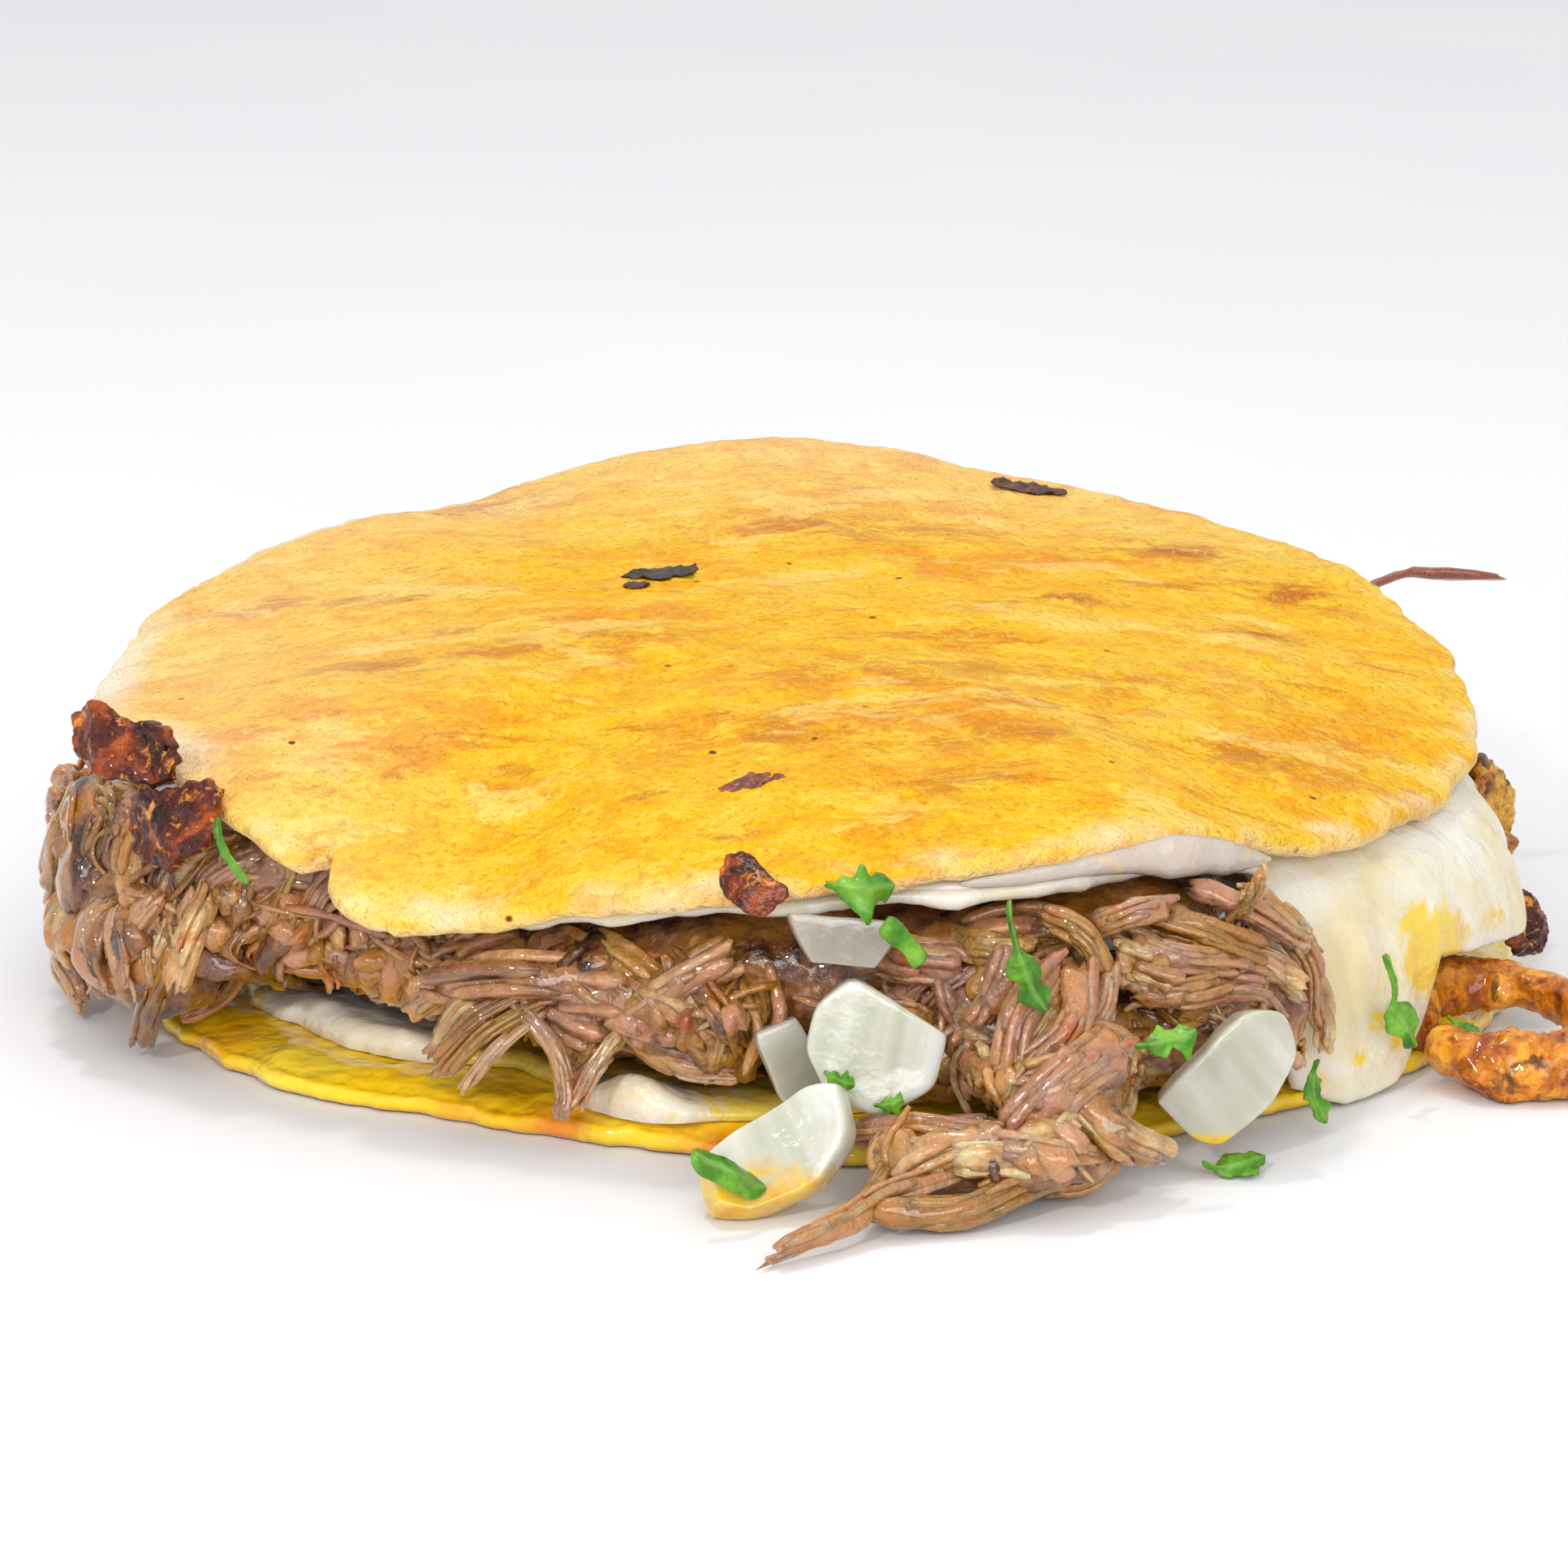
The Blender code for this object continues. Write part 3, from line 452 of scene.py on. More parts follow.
class Paint:
    """Builds the node network of one material. Sizes of patterns are given in metres."""

    def __init__(self, name, **numbers):
        self.material = bpy.data.materials.new(name)
        self.material.use_nodes = True
        self.tree = self.material.node_tree
        self.shader = self.tree.nodes["Principled BSDF"]
        for socket, value in numbers.items():
            self.shader.inputs[socket.replace("_", " ")].default_value = value
        self.where = self.tree.nodes.new("ShaderNodeTexCoord").outputs["Object"]

    def add(self, kind, inputs, **settings):
        """A node whose inputs are linked to sockets or set to plain values."""
        node = self.tree.nodes.new(kind)
        for name, value in settings.items():
            setattr(node, name, value)
        for name, value in inputs.items():
            if isinstance(value, bpy.types.NodeSocket):
                self.tree.links.new(value, node.inputs[name])
            else:
                node.inputs[name].default_value = value
        return node

    def stretched(self, x, y, z, where=None):
        """Coordinates scaled along each axis, so that patterns grow longer where the scale is below 1."""
        inputs = {"Vector": where or self.where, "Scale": (x, y, z)}
        return self.add("ShaderNodeMapping", inputs).outputs[0]

    def mark(self, name, output="Fac"):
        """A value that the mesh stores at each point."""
        node = self.tree.nodes.new("ShaderNodeAttribute")
        node.attribute_name = name
        return node.outputs[output]

    def clouds(self, size, detail=4, roughness=0.55, distortion=0.0, where=None):
        """Smooth noise whose patches are about size across."""
        inputs = {"Vector": where or self.where, "Scale": 1 / size, "Detail": detail}
        inputs.update({"Roughness": roughness, "Distortion": distortion})
        return self.add("ShaderNodeTexNoise", inputs).outputs[0]

    def cells(self, size, feature="F1"):
        """How far each place is from the middle of its cell, in a pattern of cells about size across."""
        inputs = {"Vector": self.where, "Scale": 1 / size}
        return self.add("ShaderNodeTexVoronoi", inputs, feature=feature).outputs["Distance"]

    def ramp(self, factor, *stops):
        """A colour for factor, from stops that each give a place and a hex code."""
        node = self.add("ShaderNodeValToRGB", {"Fac": factor})
        points = node.color_ramp.elements
        while len(points) < len(stops):
            points.new(0.5)
        for point, (place, colour) in zip(points, stops):
            point.position = place
            point.color = tone(colour)
        return node.outputs[0]

    def level(self, factor, low, high, start=0.0, end=1.0):
        """factor's span from low to high, spread over start to end."""
        inputs = {"Value": factor, "From Min": low, "From Max": high, "To Min": start, "To Max": end}
        return self.add("ShaderNodeMapRange", inputs).outputs[0]

    def times(self, a, b):
        """a multiplied by b."""
        return self.add("ShaderNodeMath", {0: a, 1: b}, operation="MULTIPLY").outputs[0]

    def plus(self, a, b):
        """a and b added."""
        return self.add("ShaderNodeMath", {0: a, 1: b}, operation="ADD").outputs[0]

    def blend(self, factor, a, b):
        """From a to b as factor grows. Each is a hex code or another node's colour."""
        a, b = (tone(c) if isinstance(c, str) else c for c in (a, b))
        return self.add("ShaderNodeMix", {0: factor, 6: a, 7: b}, data_type="RGBA").outputs[2]

    def over(self, colour, code, pattern, low, high, strength):
        """Another colour laid over the first where pattern runs from low to high."""
        return self.blend(self.level(pattern, low, high, 0, strength), colour, code)

    def bump(self, height, depth, strength=1.0, under=None):
        """Low relief from a height pattern, on top of the relief under it."""
        inputs = {"Height": height, "Distance": depth, "Strength": strength}
        if under:
            inputs["Normal"] = under
        return self.add("ShaderNodeBump", inputs).outputs[0]

    def finish(self, colour, roughness=None, normal=None):
        """Sets or links the shader's main inputs and gives back the material."""
        for socket, value in (("Base Color", colour), ("Roughness", roughness), ("Normal", normal)):
            if isinstance(value, bpy.types.NodeSocket):
                self.tree.links.new(value, self.shader.inputs[socket])
            elif value is not None:
                self.shader.inputs[socket].default_value = value
        return self.material


def masa_griddled():
    """Fried corn dough: bright amber with browned patches, pale where the griddle missed it. Towards the
    back and the left it is painted paler as painted light.
    """
    paint = Paint("masa_griddled", Specular_IOR_Level=0.1)
    wide = paint.stretched(0.7, 1.0, 1.0)
    patches = paint.clouds(0.02, 7, 0.64, 0.5, wide)
    colour = paint.ramp(patches, (0.36, "F2C43A"), (0.45, "F3BA12"), (0.53, "F4B800"), (0.6, "EFA200"),
                        (0.7, "E08E06"))
    mottle = paint.clouds(0.0042, 6, 0.66, 0.5, wide)
    colour = paint.over(colour, "E99406", mottle, 0.53, 0.58, 0.45)
    colour = paint.over(colour, "F3C83A", mottle, 0.47, 0.42, 0.6)
    toast = paint.times(paint.mark("toast"), paint.level(mottle, 0.42, 0.54))
    colour = paint.blend(toast, colour, "B96314")
    streak = paint.clouds(0.01, 7, 0.68, 0.6, paint.stretched(0.45, 1.2, 1.0))
    colour = paint.over(colour, "C26E10", streak, 0.59, 0.64, 0.6)
    cream = paint.clouds(0.012, 7, 0.66, 0.4, paint.stretched(0.6, 1.2, 1.0))
    colour = paint.over(colour, "FBDE80", cream, 0.55, 0.6, 0.45)
    grain = paint.clouds(0.0009, 3, 0.7)
    colour = paint.over(colour, "D07E06", grain, 0.54, 0.66, 0.45)
    colour = paint.over(colour, "FCE070", grain, 0.46, 0.32, 0.35)
    # The pale mark holds the real pale rim and the painted light towards the back and the left
    pale = paint.times(paint.mark("pale"), paint.level(mottle, 0.25, 0.6, 1.0, 0.8))
    colour = paint.blend(pale, colour, "F2EAD6")
    specks = paint.cells(0.0052)
    dots = paint.level(specks, 0.1, 0.06)
    chosen = paint.level(paint.clouds(0.006, 2), 0.54, 0.6)
    colour = paint.blend(paint.times(dots, chosen), colour, "6A3C14")
    shine = paint.level(paint.clouds(0.006, 4), 0.35, 0.7, 0.3, 0.5)
    relief = paint.bump(paint.clouds(0.004, 5, 0.65), 0.0014, 0.6)
    relief = paint.bump(grain, 0.0008, 0.9, relief)
    return paint.finish(colour, shine, relief)


def masa_oiled():
    """The lower tortilla, soaked in fat: lemon yellow, with orange grease and a glossy rim."""
    paint = Paint("masa_oiled", Coat_Weight=1.0, Coat_Roughness=0.04, Specular_IOR_Level=0.2)
    patches = paint.clouds(0.014, 5, 0.6, 0.6)
    colour = paint.ramp(patches, (0.34, "FFE452"), (0.46, "FFD924"), (0.58, "FFD00C"), (0.72, "FFBE0C"))
    grease = paint.level(paint.clouds(0.008, 4, 0.6, 0.8), 0.42, 0.6, 0.35, 1.0)
    colour = paint.blend(paint.times(paint.mark("grease"), grease), colour, "E8761A")
    colour = paint.blend(paint.mark("foot"), colour, "9A5E14")
    relief = paint.bump(paint.clouds(0.0028, 2, 0.5), 0.0014, 0.6)
    return paint.finish(colour, paint.level(patches, 0.3, 0.7, 0.16, 0.34), relief)


def melted_cheese():
    """Soft white cheese, cream where it thins, stained yellow by the fat."""
    paint = Paint("melted_cheese", Coat_Weight=0.35, Coat_Roughness=0.1, Subsurface_Weight=0.6,
                  Subsurface_Radius=(1.0, 0.85, 0.6), Subsurface_Scale=0.003)
    patches = paint.clouds(0.011, 4, 0.55, 0.4)
    colour = paint.ramp(patches, (0.32, "EEE9DF"), (0.5, "E9DFC8"), (0.68, "E4D0A2"))
    colour = paint.blend(paint.mark("fresh"), colour, "BDAEA6")
    edge = paint.level(paint.clouds(0.003, 5, 0.65, 0.5), 0.3, 0.7, -0.35, 0.35)
    stain = paint.level(paint.plus(paint.mark("stain"), edge), 0.4, 0.72, 0, 0.9)
    fat = paint.ramp(paint.clouds(0.006, 4, 0.6, 0.5), (0.5, "F2CA2C"), (0.72, "EEB024"))
    colour = paint.blend(stain, colour, fat)
    colour = paint.over(colour, "ECC66A", paint.clouds(0.0045, 3, 0.6, 0.5), 0.62, 0.7, 0.4)
    relief = paint.bump(paint.clouds(0.0045, 4, 0.55), 0.0016, 0.6)
    return paint.finish(colour, paint.level(patches, 0.3, 0.7, 0.2, 0.4), relief)


def shredded_beef():
    """Braised beef: soft fibres along each strand, tan to pink brown, wet with broth and orange fat."""
    paint = Paint("shredded_beef", Coat_Weight=1.0, Coat_Roughness=0.03, Specular_IOR_Level=0.4,
                  Subsurface_Weight=0.45, Subsurface_Radius=(1.0, 0.5, 0.22), Subsurface_Scale=0.0025)
    grain = paint.mark("grain", "Vector")
    fibres = paint.clouds(0.5, 3, 0.55, 0.2, grain)
    shade = paint.plus(paint.level(fibres, 0.3, 0.7, -0.11, 0.11), paint.mark("tint"))
    shade = paint.plus(shade, paint.level(paint.clouds(0.006, 4, 0.6), 0.3, 0.7, -0.34, 0.3))
    colour = paint.ramp(shade, (0.0, "34170A"), (0.2, "683A1C"), (0.42, "966234"), (0.6, "B27C4A"),
                        (0.8, "D0A066"), (1.0, "EFCB96"))
    hue = paint.mark("hue")
    colour = paint.over(colour, "BE846A", hue, 0.5, 0.75, 0.62)
    colour = paint.over(colour, "AA7424", hue, 0.3, 0.1, 0.65)
    colour = paint.over(colour, "B27218", paint.clouds(0.006, 4, 0.6, 0.6), 0.48, 0.62, 0.65)
    colour = paint.over(colour, "B04C14", paint.clouds(0.0042, 3, 0.5, 0.5), 0.62, 0.72, 0.65)
    colour = paint.blend(paint.mark("char"), colour, "7A2E12")
    shine = paint.level(paint.clouds(0.003, 3), 0.35, 0.65, 0.14, 0.34)
    relief = paint.bump(fibres, 0.0004, 0.3)
    relief = paint.bump(paint.clouds(0.0013, 2, 0.5), 0.0009, 0.8, relief)
    return paint.finish(colour, shine, relief)


def raw_onion():
    """Wet white onion with faint layer lines, a little green, stained at its low edges."""
    paint = Paint("raw_onion", Coat_Weight=0.6, Coat_Roughness=0.06, Subsurface_Weight=0.8,
                  Subsurface_Radius=(1.0, 0.95, 0.8), Subsurface_Scale=0.003, Transmission_Weight=0.1)
    layers = paint.stretched(1.0, 0.14, 0.4, paint.mark("grain", "Vector"))
    lines = paint.clouds(0.003, 2, 0.5, 0.3, layers)
    colour = paint.ramp(lines, (0.3, "BFC1AC"), (0.5, "CFD0C0"), (0.7, "E0E0D8"))
    colour = paint.over(colour, "B4B492", paint.clouds(0.009, 2), 0.5, 0.66, 0.4)
    colour = paint.blend(paint.mark("clear"), colour, "94857C")
    edge = paint.level(paint.clouds(0.0025, 5, 0.65, 0.5), 0.3, 0.7, -0.25, 0.25)
    stain = paint.level(paint.plus(paint.mark("stain"), edge), 0.34, 0.72, 0, 0.95)
    rust = paint.ramp(paint.clouds(0.003, 3), (0.5, "EEC20C"), (0.7, "DE9A10"))
    colour = paint.blend(stain, colour, rust)
    relief = paint.bump(lines, 0.0002, 0.2)
    relief = paint.bump(paint.clouds(0.0022, 3), 0.0006, 0.4, relief)
    return paint.finish(colour, paint.level(lines, 0.3, 0.7, 0.16, 0.3), relief)


def cilantro_leaf():
    """Fresh chopped leaf: mid green with paler veins."""
    paint = Paint("cilantro_leaf", Coat_Weight=0.2, Coat_Roughness=0.15, Specular_IOR_Level=0.25)
    patches = paint.clouds(0.003, 3, 0.6, 0.4)
    colour = paint.ramp(patches, (0.32, "335F0E"), (0.5, "4C8A1C"), (0.68, "7CB238"))
    colour = paint.blend(paint.times(paint.mark("vein"), 0.4), colour, "92C058")
    relief = paint.bump(paint.mark("vein"), 0.0002, 0.7)
    relief = paint.bump(paint.clouds(0.0012, 3), 0.0003, 0.5, relief)
    return paint.finish(colour, 0.35, relief)


def crisp_cheese(name, dark, middle, light):
    """Fried cheese: bubbled and greasy."""
    paint = Paint(name, Coat_Weight=0.5, Coat_Roughness=0.05, Specular_IOR_Level=0.15)
    patches = paint.clouds(0.0042, 5, 0.65, 0.6)
    colour = paint.ramp(patches, (0.36, dark), (0.5, middle), (0.62, light))
    # Orange specks: partly the fried cheese's own colour, partly painted highlights on its bubbles
    colour = paint.over(colour, "EE9A30", paint.clouds(0.0018, 4, 0.65, 0.5), 0.57, 0.66, 0.8)
    colour = paint.over(colour, "33130A", paint.clouds(0.003, 3, 0.6, 0.4), 0.42, 0.32, 0.8)
    bubbles = paint.cells(0.0013, "SMOOTH_F1")
    relief = paint.bump(bubbles, 0.0009, 1.0)
    relief = paint.bump(paint.clouds(0.0022, 4, 0.6), 0.001, 0.7, relief)
    return paint.finish(colour, paint.level(patches, 0.3, 0.7, 0.25, 0.5), relief)


def charred_fleck():
    """Burnt scraps, brown to black."""
    paint = Paint("charred_fleck", Coat_Weight=0.3, Coat_Roughness=0.2)
    patches = paint.clouds(0.0012, 4, 0.6)
    brown = paint.ramp(patches, (0.35, "5A220C"), (0.55, "8C3A12"), (0.7, "C0641E"))
    black = paint.ramp(patches, (0.35, "120A06"), (0.6, "2B150B"), (0.75, "5A3217"))
    colour = paint.blend(paint.mark("black"), brown, black)
    relief = paint.bump(patches, 0.0006, 0.8)
    return paint.finish(colour, 0.45, relief)


def rim_change(degrees):
    """How far the upper tortilla's rim stands out from its circle."""
    change = np.zeros_like(degrees)
    for angle, spread, depth in RIM_NOTCHES:
        change -= depth * MM * bell(turned(degrees - angle), spread)
    return change


def disc_rows(shares, spokes):
    """Shares of the reach and angles for the rings of a round sheet."""
    angles = np.linspace(0, 2 * math.pi, spokes, endpoint=False)
    return np.meshgrid(np.array(shares), angles, indexing="ij")


def upper_tortilla(material):
    """The domed tortilla on top, with its uneven rim and the notch at the front left."""
    shares, angles = disc_rows(np.concatenate([[0.004], np.linspace(0.03, 1, 80) ** 0.8]), 450)
    degrees = np.degrees(angles)
    rim = circle(angles)
    reach = TORTILLA_RADIUS - 0.9 * MM + rim_change(degrees)
    reach += bumps(rim, (0.55, 9, 1), (0.3, 2.6, 2))
    run = reach * shares
    x, y = TOP_CENTRE_X + run * np.cos(angles), run * np.sin(angles)
    flat = xyz(x, y, 0)
    lumps = bumps(flat, (0.5, 14, 3), (0.28, 4.5, 4), (0.12, 1.6, 5))
    fall = 0.35 * MM * np.clip((shares - 0.955) / 0.045, 0, 1) ** 2
    top = xyz(x, y, top_height(x, y) + lumps - fall)
    turns = np.linspace(0, math.pi, 11)[1:]
    thick = TORTILLA_THICKNESS * (0.84 + 0.12 * rough(rim[-1], 5 * MM, 6))
    outer, spin = np.meshgrid(turns, angles[-1], indexing="ij")
    swell = 1.0 * MM * np.sin(outer) * (1 + 0.3 * rough(rim[-1], 3 * MM, 7))
    side = top[-1] + xyz(np.cos(spin) * swell, np.sin(spin) * swell, -thick * (1 - np.cos(outer)) / 2)
    inward = (0.97, 0.9, 0.7, 0.35, 0.01)
    under = [xyz(TOP_CENTRE_X + (x[-1] - TOP_CENTRE_X) * s, y[-1] * s, 0) for s in inward]
    for ring in under:
        ring[:, 2] = top_height(ring[:, 0], ring[:, 1]) - TORTILLA_THICKNESS + 0.2 * MM
    rows = np.concatenate([top, side, np.array(under)])
    toast = np.zeros(rows.shape[:2])
    for cx, cy, wide, deep, strength in TOASTED:
        away = np.hypot((rows[..., 0] / MM - cx) / wide, (rows[..., 1] / MM - cy) / deep)
        toast = np.maximum(toast, strength * bell(away + 0.35 * rough(rows, 5 * MM, cx), 1))
    spot = degrees_of(np.arctan2(rows[..., 1], rows[..., 0] - TOP_CENTRE_X))
    far = shares_of(rows)
    pale = bell(np.maximum(0.985 - far, 0), 0.016) * (0.12 + 0.6 * rough(rows, 6 * MM, 9))
    for middle, spread, share, depth, strength in PALE_RIM:
        near = bell(np.maximum(share - far, 0), depth)
        pale = np.maximum(pale, strength * bell(turned(spot - middle), spread) * near)
    lower = np.clip((top_height(rows[..., 0], rows[..., 1]) - rows[..., 2]) / TORTILLA_THICKNESS - 0.3, 0, 1)
    # Painted light: the top is painted paler towards the back and the left
    painted_light_back_left = 0.26 * np.clip((rows[..., 1] / MM - 30) / 36, 0, 1)
    painted_light_back_left += 0.2 * np.clip((-30 - rows[..., 0] / MM) / 30, 0, 1)
    pale = np.clip(np.maximum(np.maximum(pale, painted_light_back_left), lower), 0, 1)
    heap = Heap()
    heap.add(rows, toast=toast, pale=pale)
    return heap.make("upper_tortilla", material, "masa_griddled", "tortilla_top")


def lower_tortilla(material):
    """The flat tortilla at the bottom, with a thin wavy rim."""
    steps = np.concatenate([[0.01], np.linspace(0.3, 0.8, 8), np.linspace(0.81, 1, 26)])
    shares, angles = disc_rows(steps, 440)
    rim = circle(angles)
    reach = around(BOTTOM_REACH, angles) - 0.8 * MM
    reach += bumps(rim, (0.6, 8, 21), (0.4, 2.4, 22))
    x, y = reach * shares * np.cos(angles), reach * shares * np.sin(angles)
    flat = xyz(x, y, 0)
    near_rim = np.clip((shares - 0.85) / 0.15, 0, 1)
    lumps = bumps(flat, (0.5, 7, 23), (0.3, 2.6, 24))
    droop = 0.9 * MM * np.clip((shares - 0.93) / 0.07, 0, 1) ** 2
    top = xyz(x, y, TORTILLA_THICKNESS + (lumps + 0.2 * MM) * near_rim - droop)
    turns = np.linspace(0, math.pi, 9)[1:]
    outer, spin = np.meshgrid(turns, angles[-1], indexing="ij")
    swell = 0.9 * MM * np.sin(outer) * (1 + 0.4 * rough(rim[-1], 3 * MM, 25))
    side = top[-1] + xyz(np.cos(spin) * swell, np.sin(spin) * swell, 0)
    side[..., 2] = top[-1][:, 2] * (1 + np.cos(outer)) / 2 + 0.1 * MM
    under = [xyz(x[-1] * s, y[-1] * s, 0.1 * MM) for s in (0.97, 0.6, 0.01)]
    rows = np.concatenate([top, side, np.array(under)])
    grease = np.zeros(rows.shape[:2])
    for cx, cy, spread in GREASE_SPOTS:
        grease = np.maximum(grease, bell(away_from(rows, cx, cy), spread))
    far = np.hypot(rows[..., 0], rows[..., 1]) / TORTILLA_RADIUS
    foot = np.clip((0.9 * MM - rows[..., 2]) / (0.8 * MM), 0, 1) * np.clip((far - 0.9) / 0.06, 0, 1)
    heap = Heap()
    heap.add(rows, grease=grease, foot=foot * (0.6 + 0.4 * rough(rows, 6 * MM, 26)))
    return heap.make("lower_tortilla", material, "masa_oiled", "tortilla_bottom")


def cheese_height(reach, angle):
    """Height of the upper cheese's top face where the tortilla presses on it."""
    x, y = TOP_CENTRE_X + reach * np.cos(angle), reach * np.sin(angle)
    return top_height(x, y) - TORTILLA_THICKNESS - CHEESE_DROP


def cheese_edge(angles):
    """Reach and height of the upper cheese's lower edge at each angle."""
    degrees = degrees_of(angles)
    reach, height = np.zeros_like(angles), np.zeros_like(angles)
    for low, high in zip(CHEESE_EDGE, CHEESE_EDGE[1:]):
        inside = (degrees >= low[0]) & (degrees <= high[0])
        share = (degrees - low[0]) / (high[0] - low[0])
        share = share * share * (3 - 2 * share)
        run = (low[1] + (high[1] - low[1]) * share) * MM
        under = cheese_height(run, angles)
        ends = [under if row[2] is None else row[2] * MM for row in (low, high)]
        reach = np.where(inside, run, reach)
        height = np.where(inside, ends[0] + (ends[1] - ends[0]) * share, height)
    return reach, height


def upper_cheese(material):
    """The melted cheese under the upper tortilla, its lip at the front and its skirt at the right."""
    steps = np.concatenate([[0.005], np.linspace(0.1, 0.75, 6), np.linspace(0.78, 1, 42)])
    shares, angles = disc_rows(steps, 420)
    reach, height = cheese_edge(angles)
    ring = circle(angles)
    reach += bumps(ring, (0.5, 7, 31), (0.25, 2.5, 32))
    fall = np.clip((shares - SKIRT_FROM) / (1 - SKIRT_FROM), 0, 1)
    inner = SKIRT_REACH * np.minimum(shares / SKIRT_FROM, 1)
    run = inner + (reach - SKIRT_REACH) * np.sin(fall * math.pi / 2)
    start = cheese_height(inner, angles)
    z = start + (height - start) * fall**1.6
    x, y = TOP_CENTRE_X + run * np.cos(angles), run * np.sin(angles)
    top = xyz(x, y, z)
    hanging = np.clip((cheese_height(run, angles) - z) / (2 * MM), 0, 1)
    folds = bumps(xyz(degrees_of(angles) * MM, 0 * z, z * 0.35), (0.7, 5, 33))
    top[..., :2] += (folds * hanging)[..., None] * ring[..., :2] / TORTILLA_RADIUS
    thick = CHEESE_THICKNESS * (1 + 0.35 * rough(ring, 6 * MM, 34))
    thick = np.maximum(thick, 0.9 * MM)
    under = top - xyz(0 * z, 0 * z, thick)
    slope = hanging * np.clip(fall * 1.4, 0, 1)
    inward = slope[..., None] * ring / TORTILLA_RADIUS * thick[..., None]
    under = under + xyz(0 * z, 0 * z, thick * slope * 0.75) - inward * 0.8
    turns = np.linspace(0, math.pi, 9)[1:-1]
    edge_top, edge_under = top[-1], under[-1]
    middle, half = (edge_top + edge_under) / 2, (edge_top - edge_under) / 2
    away = unit(np.cross(half, np.roll(edge_top, -1, 0) - np.roll(edge_top, 1, 0)))
    away *= np.sign((away * ring[-1]).sum(axis=-1, keepdims=True) - away[:, 2:] * slope[-1][:, None])
    size = np.linalg.norm(half, axis=-1, keepdims=True)
    side = [middle + half * math.cos(t) + away * size * math.sin(t) for t in turns]
    rows = np.concatenate([top, np.array(side), under[::-1]])
    rows[..., 2] = np.maximum(rows[..., 2], 0.3 * MM)
    stain = np.zeros(rows.shape[:2])
    for cx, cz, spread, strength in SKIRT_STAINS:
        away = np.hypot(rows[..., 0] / MM - cx, rows[..., 2] / MM - cz)
        stain = np.maximum(stain, np.minimum(strength * bell(away, spread), 1) * (rows[..., 1] < 0))
    rim_stain = 0.35 * np.clip(0.5 + rough(rows, 5 * MM, 35), 0, 1) * bell(rows[..., 2] / MM - 1.4, 1.6)
    heap = Heap()
    from_lip = turned(np.degrees(np.arctan2(rows[..., 1], rows[..., 0])) - LIP_ANGLE)
    fresh = 0.6 * bell(from_lip, 14) * (shares_of(rows) > 0.9)
    heap.add(rows, stain=np.maximum(stain, rim_stain), fresh=fresh)
    heap.add(cheese_bead(), stain=0.0, fresh=0.8)
    return heap.make("upper_cheese", material, "melted_cheese", "cheese_upper")


def cheese_bead():
    """A lumpy bead of cheese along the upper tortilla's rim, thickest at its middle angle."""
    first, last, middle, spread = CHEESE_BEAD
    around_bead = np.linspace(0, 2 * math.pi, 20, endpoint=False)
    degrees, spin = np.meshgrid(np.linspace(first, last, 90), around_bead, indexing="ij")
    angle = np.radians(degrees)
    place = xyz(TOP_CENTRE_X + TORTILLA_RADIUS * np.cos(angle), TORTILLA_RADIUS * np.sin(angle), 0)
    size = (0.55 + 0.85 * bell(degrees - middle, spread)) * (1 + 0.16 * rough(place, 5 * MM, 36)) * MM
    size *= np.clip(np.minimum(degrees - first, last - degrees) / 5, 0.02, 1) ** 0.5
    out = TORTILLA_RADIUS - 0.6 * MM + size * (0.3 + np.cos(spin))
    rim = top_height(place[..., 0], place[..., 1]) - TORTILLA_THICKNESS
    height = rim - 0.3 * size + 1.5 * size * np.sin(spin)
    return xyz(TOP_CENTRE_X + out * np.cos(angle), out * np.sin(angle), height)


def lower_cheese(material):
    """The melted cheese on the lower tortilla, with blobs at its front."""
    steps = np.concatenate([[0.01], np.linspace(0.2, 0.75, 6), np.linspace(0.76, 1, 34)])
    shares, angles = disc_rows(steps, 380)
    ring = circle(angles)
    reach = around(CHEESE_FLOOR_REACH, angles) - 0.6 * MM
    reach += bumps(ring, (1.0, 9, 41), (0.5, 3, 42))
    for middle, spread, depth in CHEESE_TONGUES:
        reach += depth * MM * bell(turned(np.degrees(angles) - middle), spread)
    x, y = reach * shares * np.cos(angles), reach * shares * np.sin(angles)
    floor = TORTILLA_THICKNESS + LAYER_GAP
    z = np.full_like(x, floor + CHEESE_FLOOR_THICKNESS)
    for cx, cy, radius, height in CHEESE_BLOBS:
        z += height * MM * bell(np.hypot(x / MM - cx, y / MM - cy), radius)
    z += bumps(xyz(x, y, 0), (0.35, 5, 43))
    ends = np.clip((1 - shares) / 0.03, 0, 1)
    z = floor + (z - floor) * np.sqrt(1 - (1 - ends) ** 2)
    top = xyz(x, y, z)
    under = np.array([xyz(x[-1] * s, y[-1] * s, floor - 0.2 * MM) for s in (0.99, 0.6, 0.01)])
    rows = np.concatenate([top, under])
    stain = np.clip(0.95 + 0.5 * rough(rows, 7 * MM, 44), 0, 1)
    for cx, cy, radius, _ in CHEESE_BLOBS:
        stain *= 1 - bell(away_from(rows, cx, cy), radius * 1.8)
    heap = Heap()
    heap.add(rows, stain=stain, fresh=0.0)
    return heap.make("lower_cheese", material, "melted_cheese", "cheese_lower")


def along(points, shares):
    """Points on the smooth line through points, with its ends run straight on."""
    line = np.array(points, float)
    line = np.concatenate([2 * line[:1] - line[1:2], line, 2 * line[-1:] - line[-2:-1]])
    count = len(line) - 3
    place = shares * count
    index = np.clip(place.astype(int), 0, count - 1)
    local = (place - index)[:, None]
    before, here, there, after = (line[index + k] for k in range(4))
    bend = 2 * before - 5 * here + 4 * there - after
    turn = 3 * here - before - 3 * there + after
    return 0.5 * (2 * here + (there - before) * local + bend * local**2 + turn * local**3)


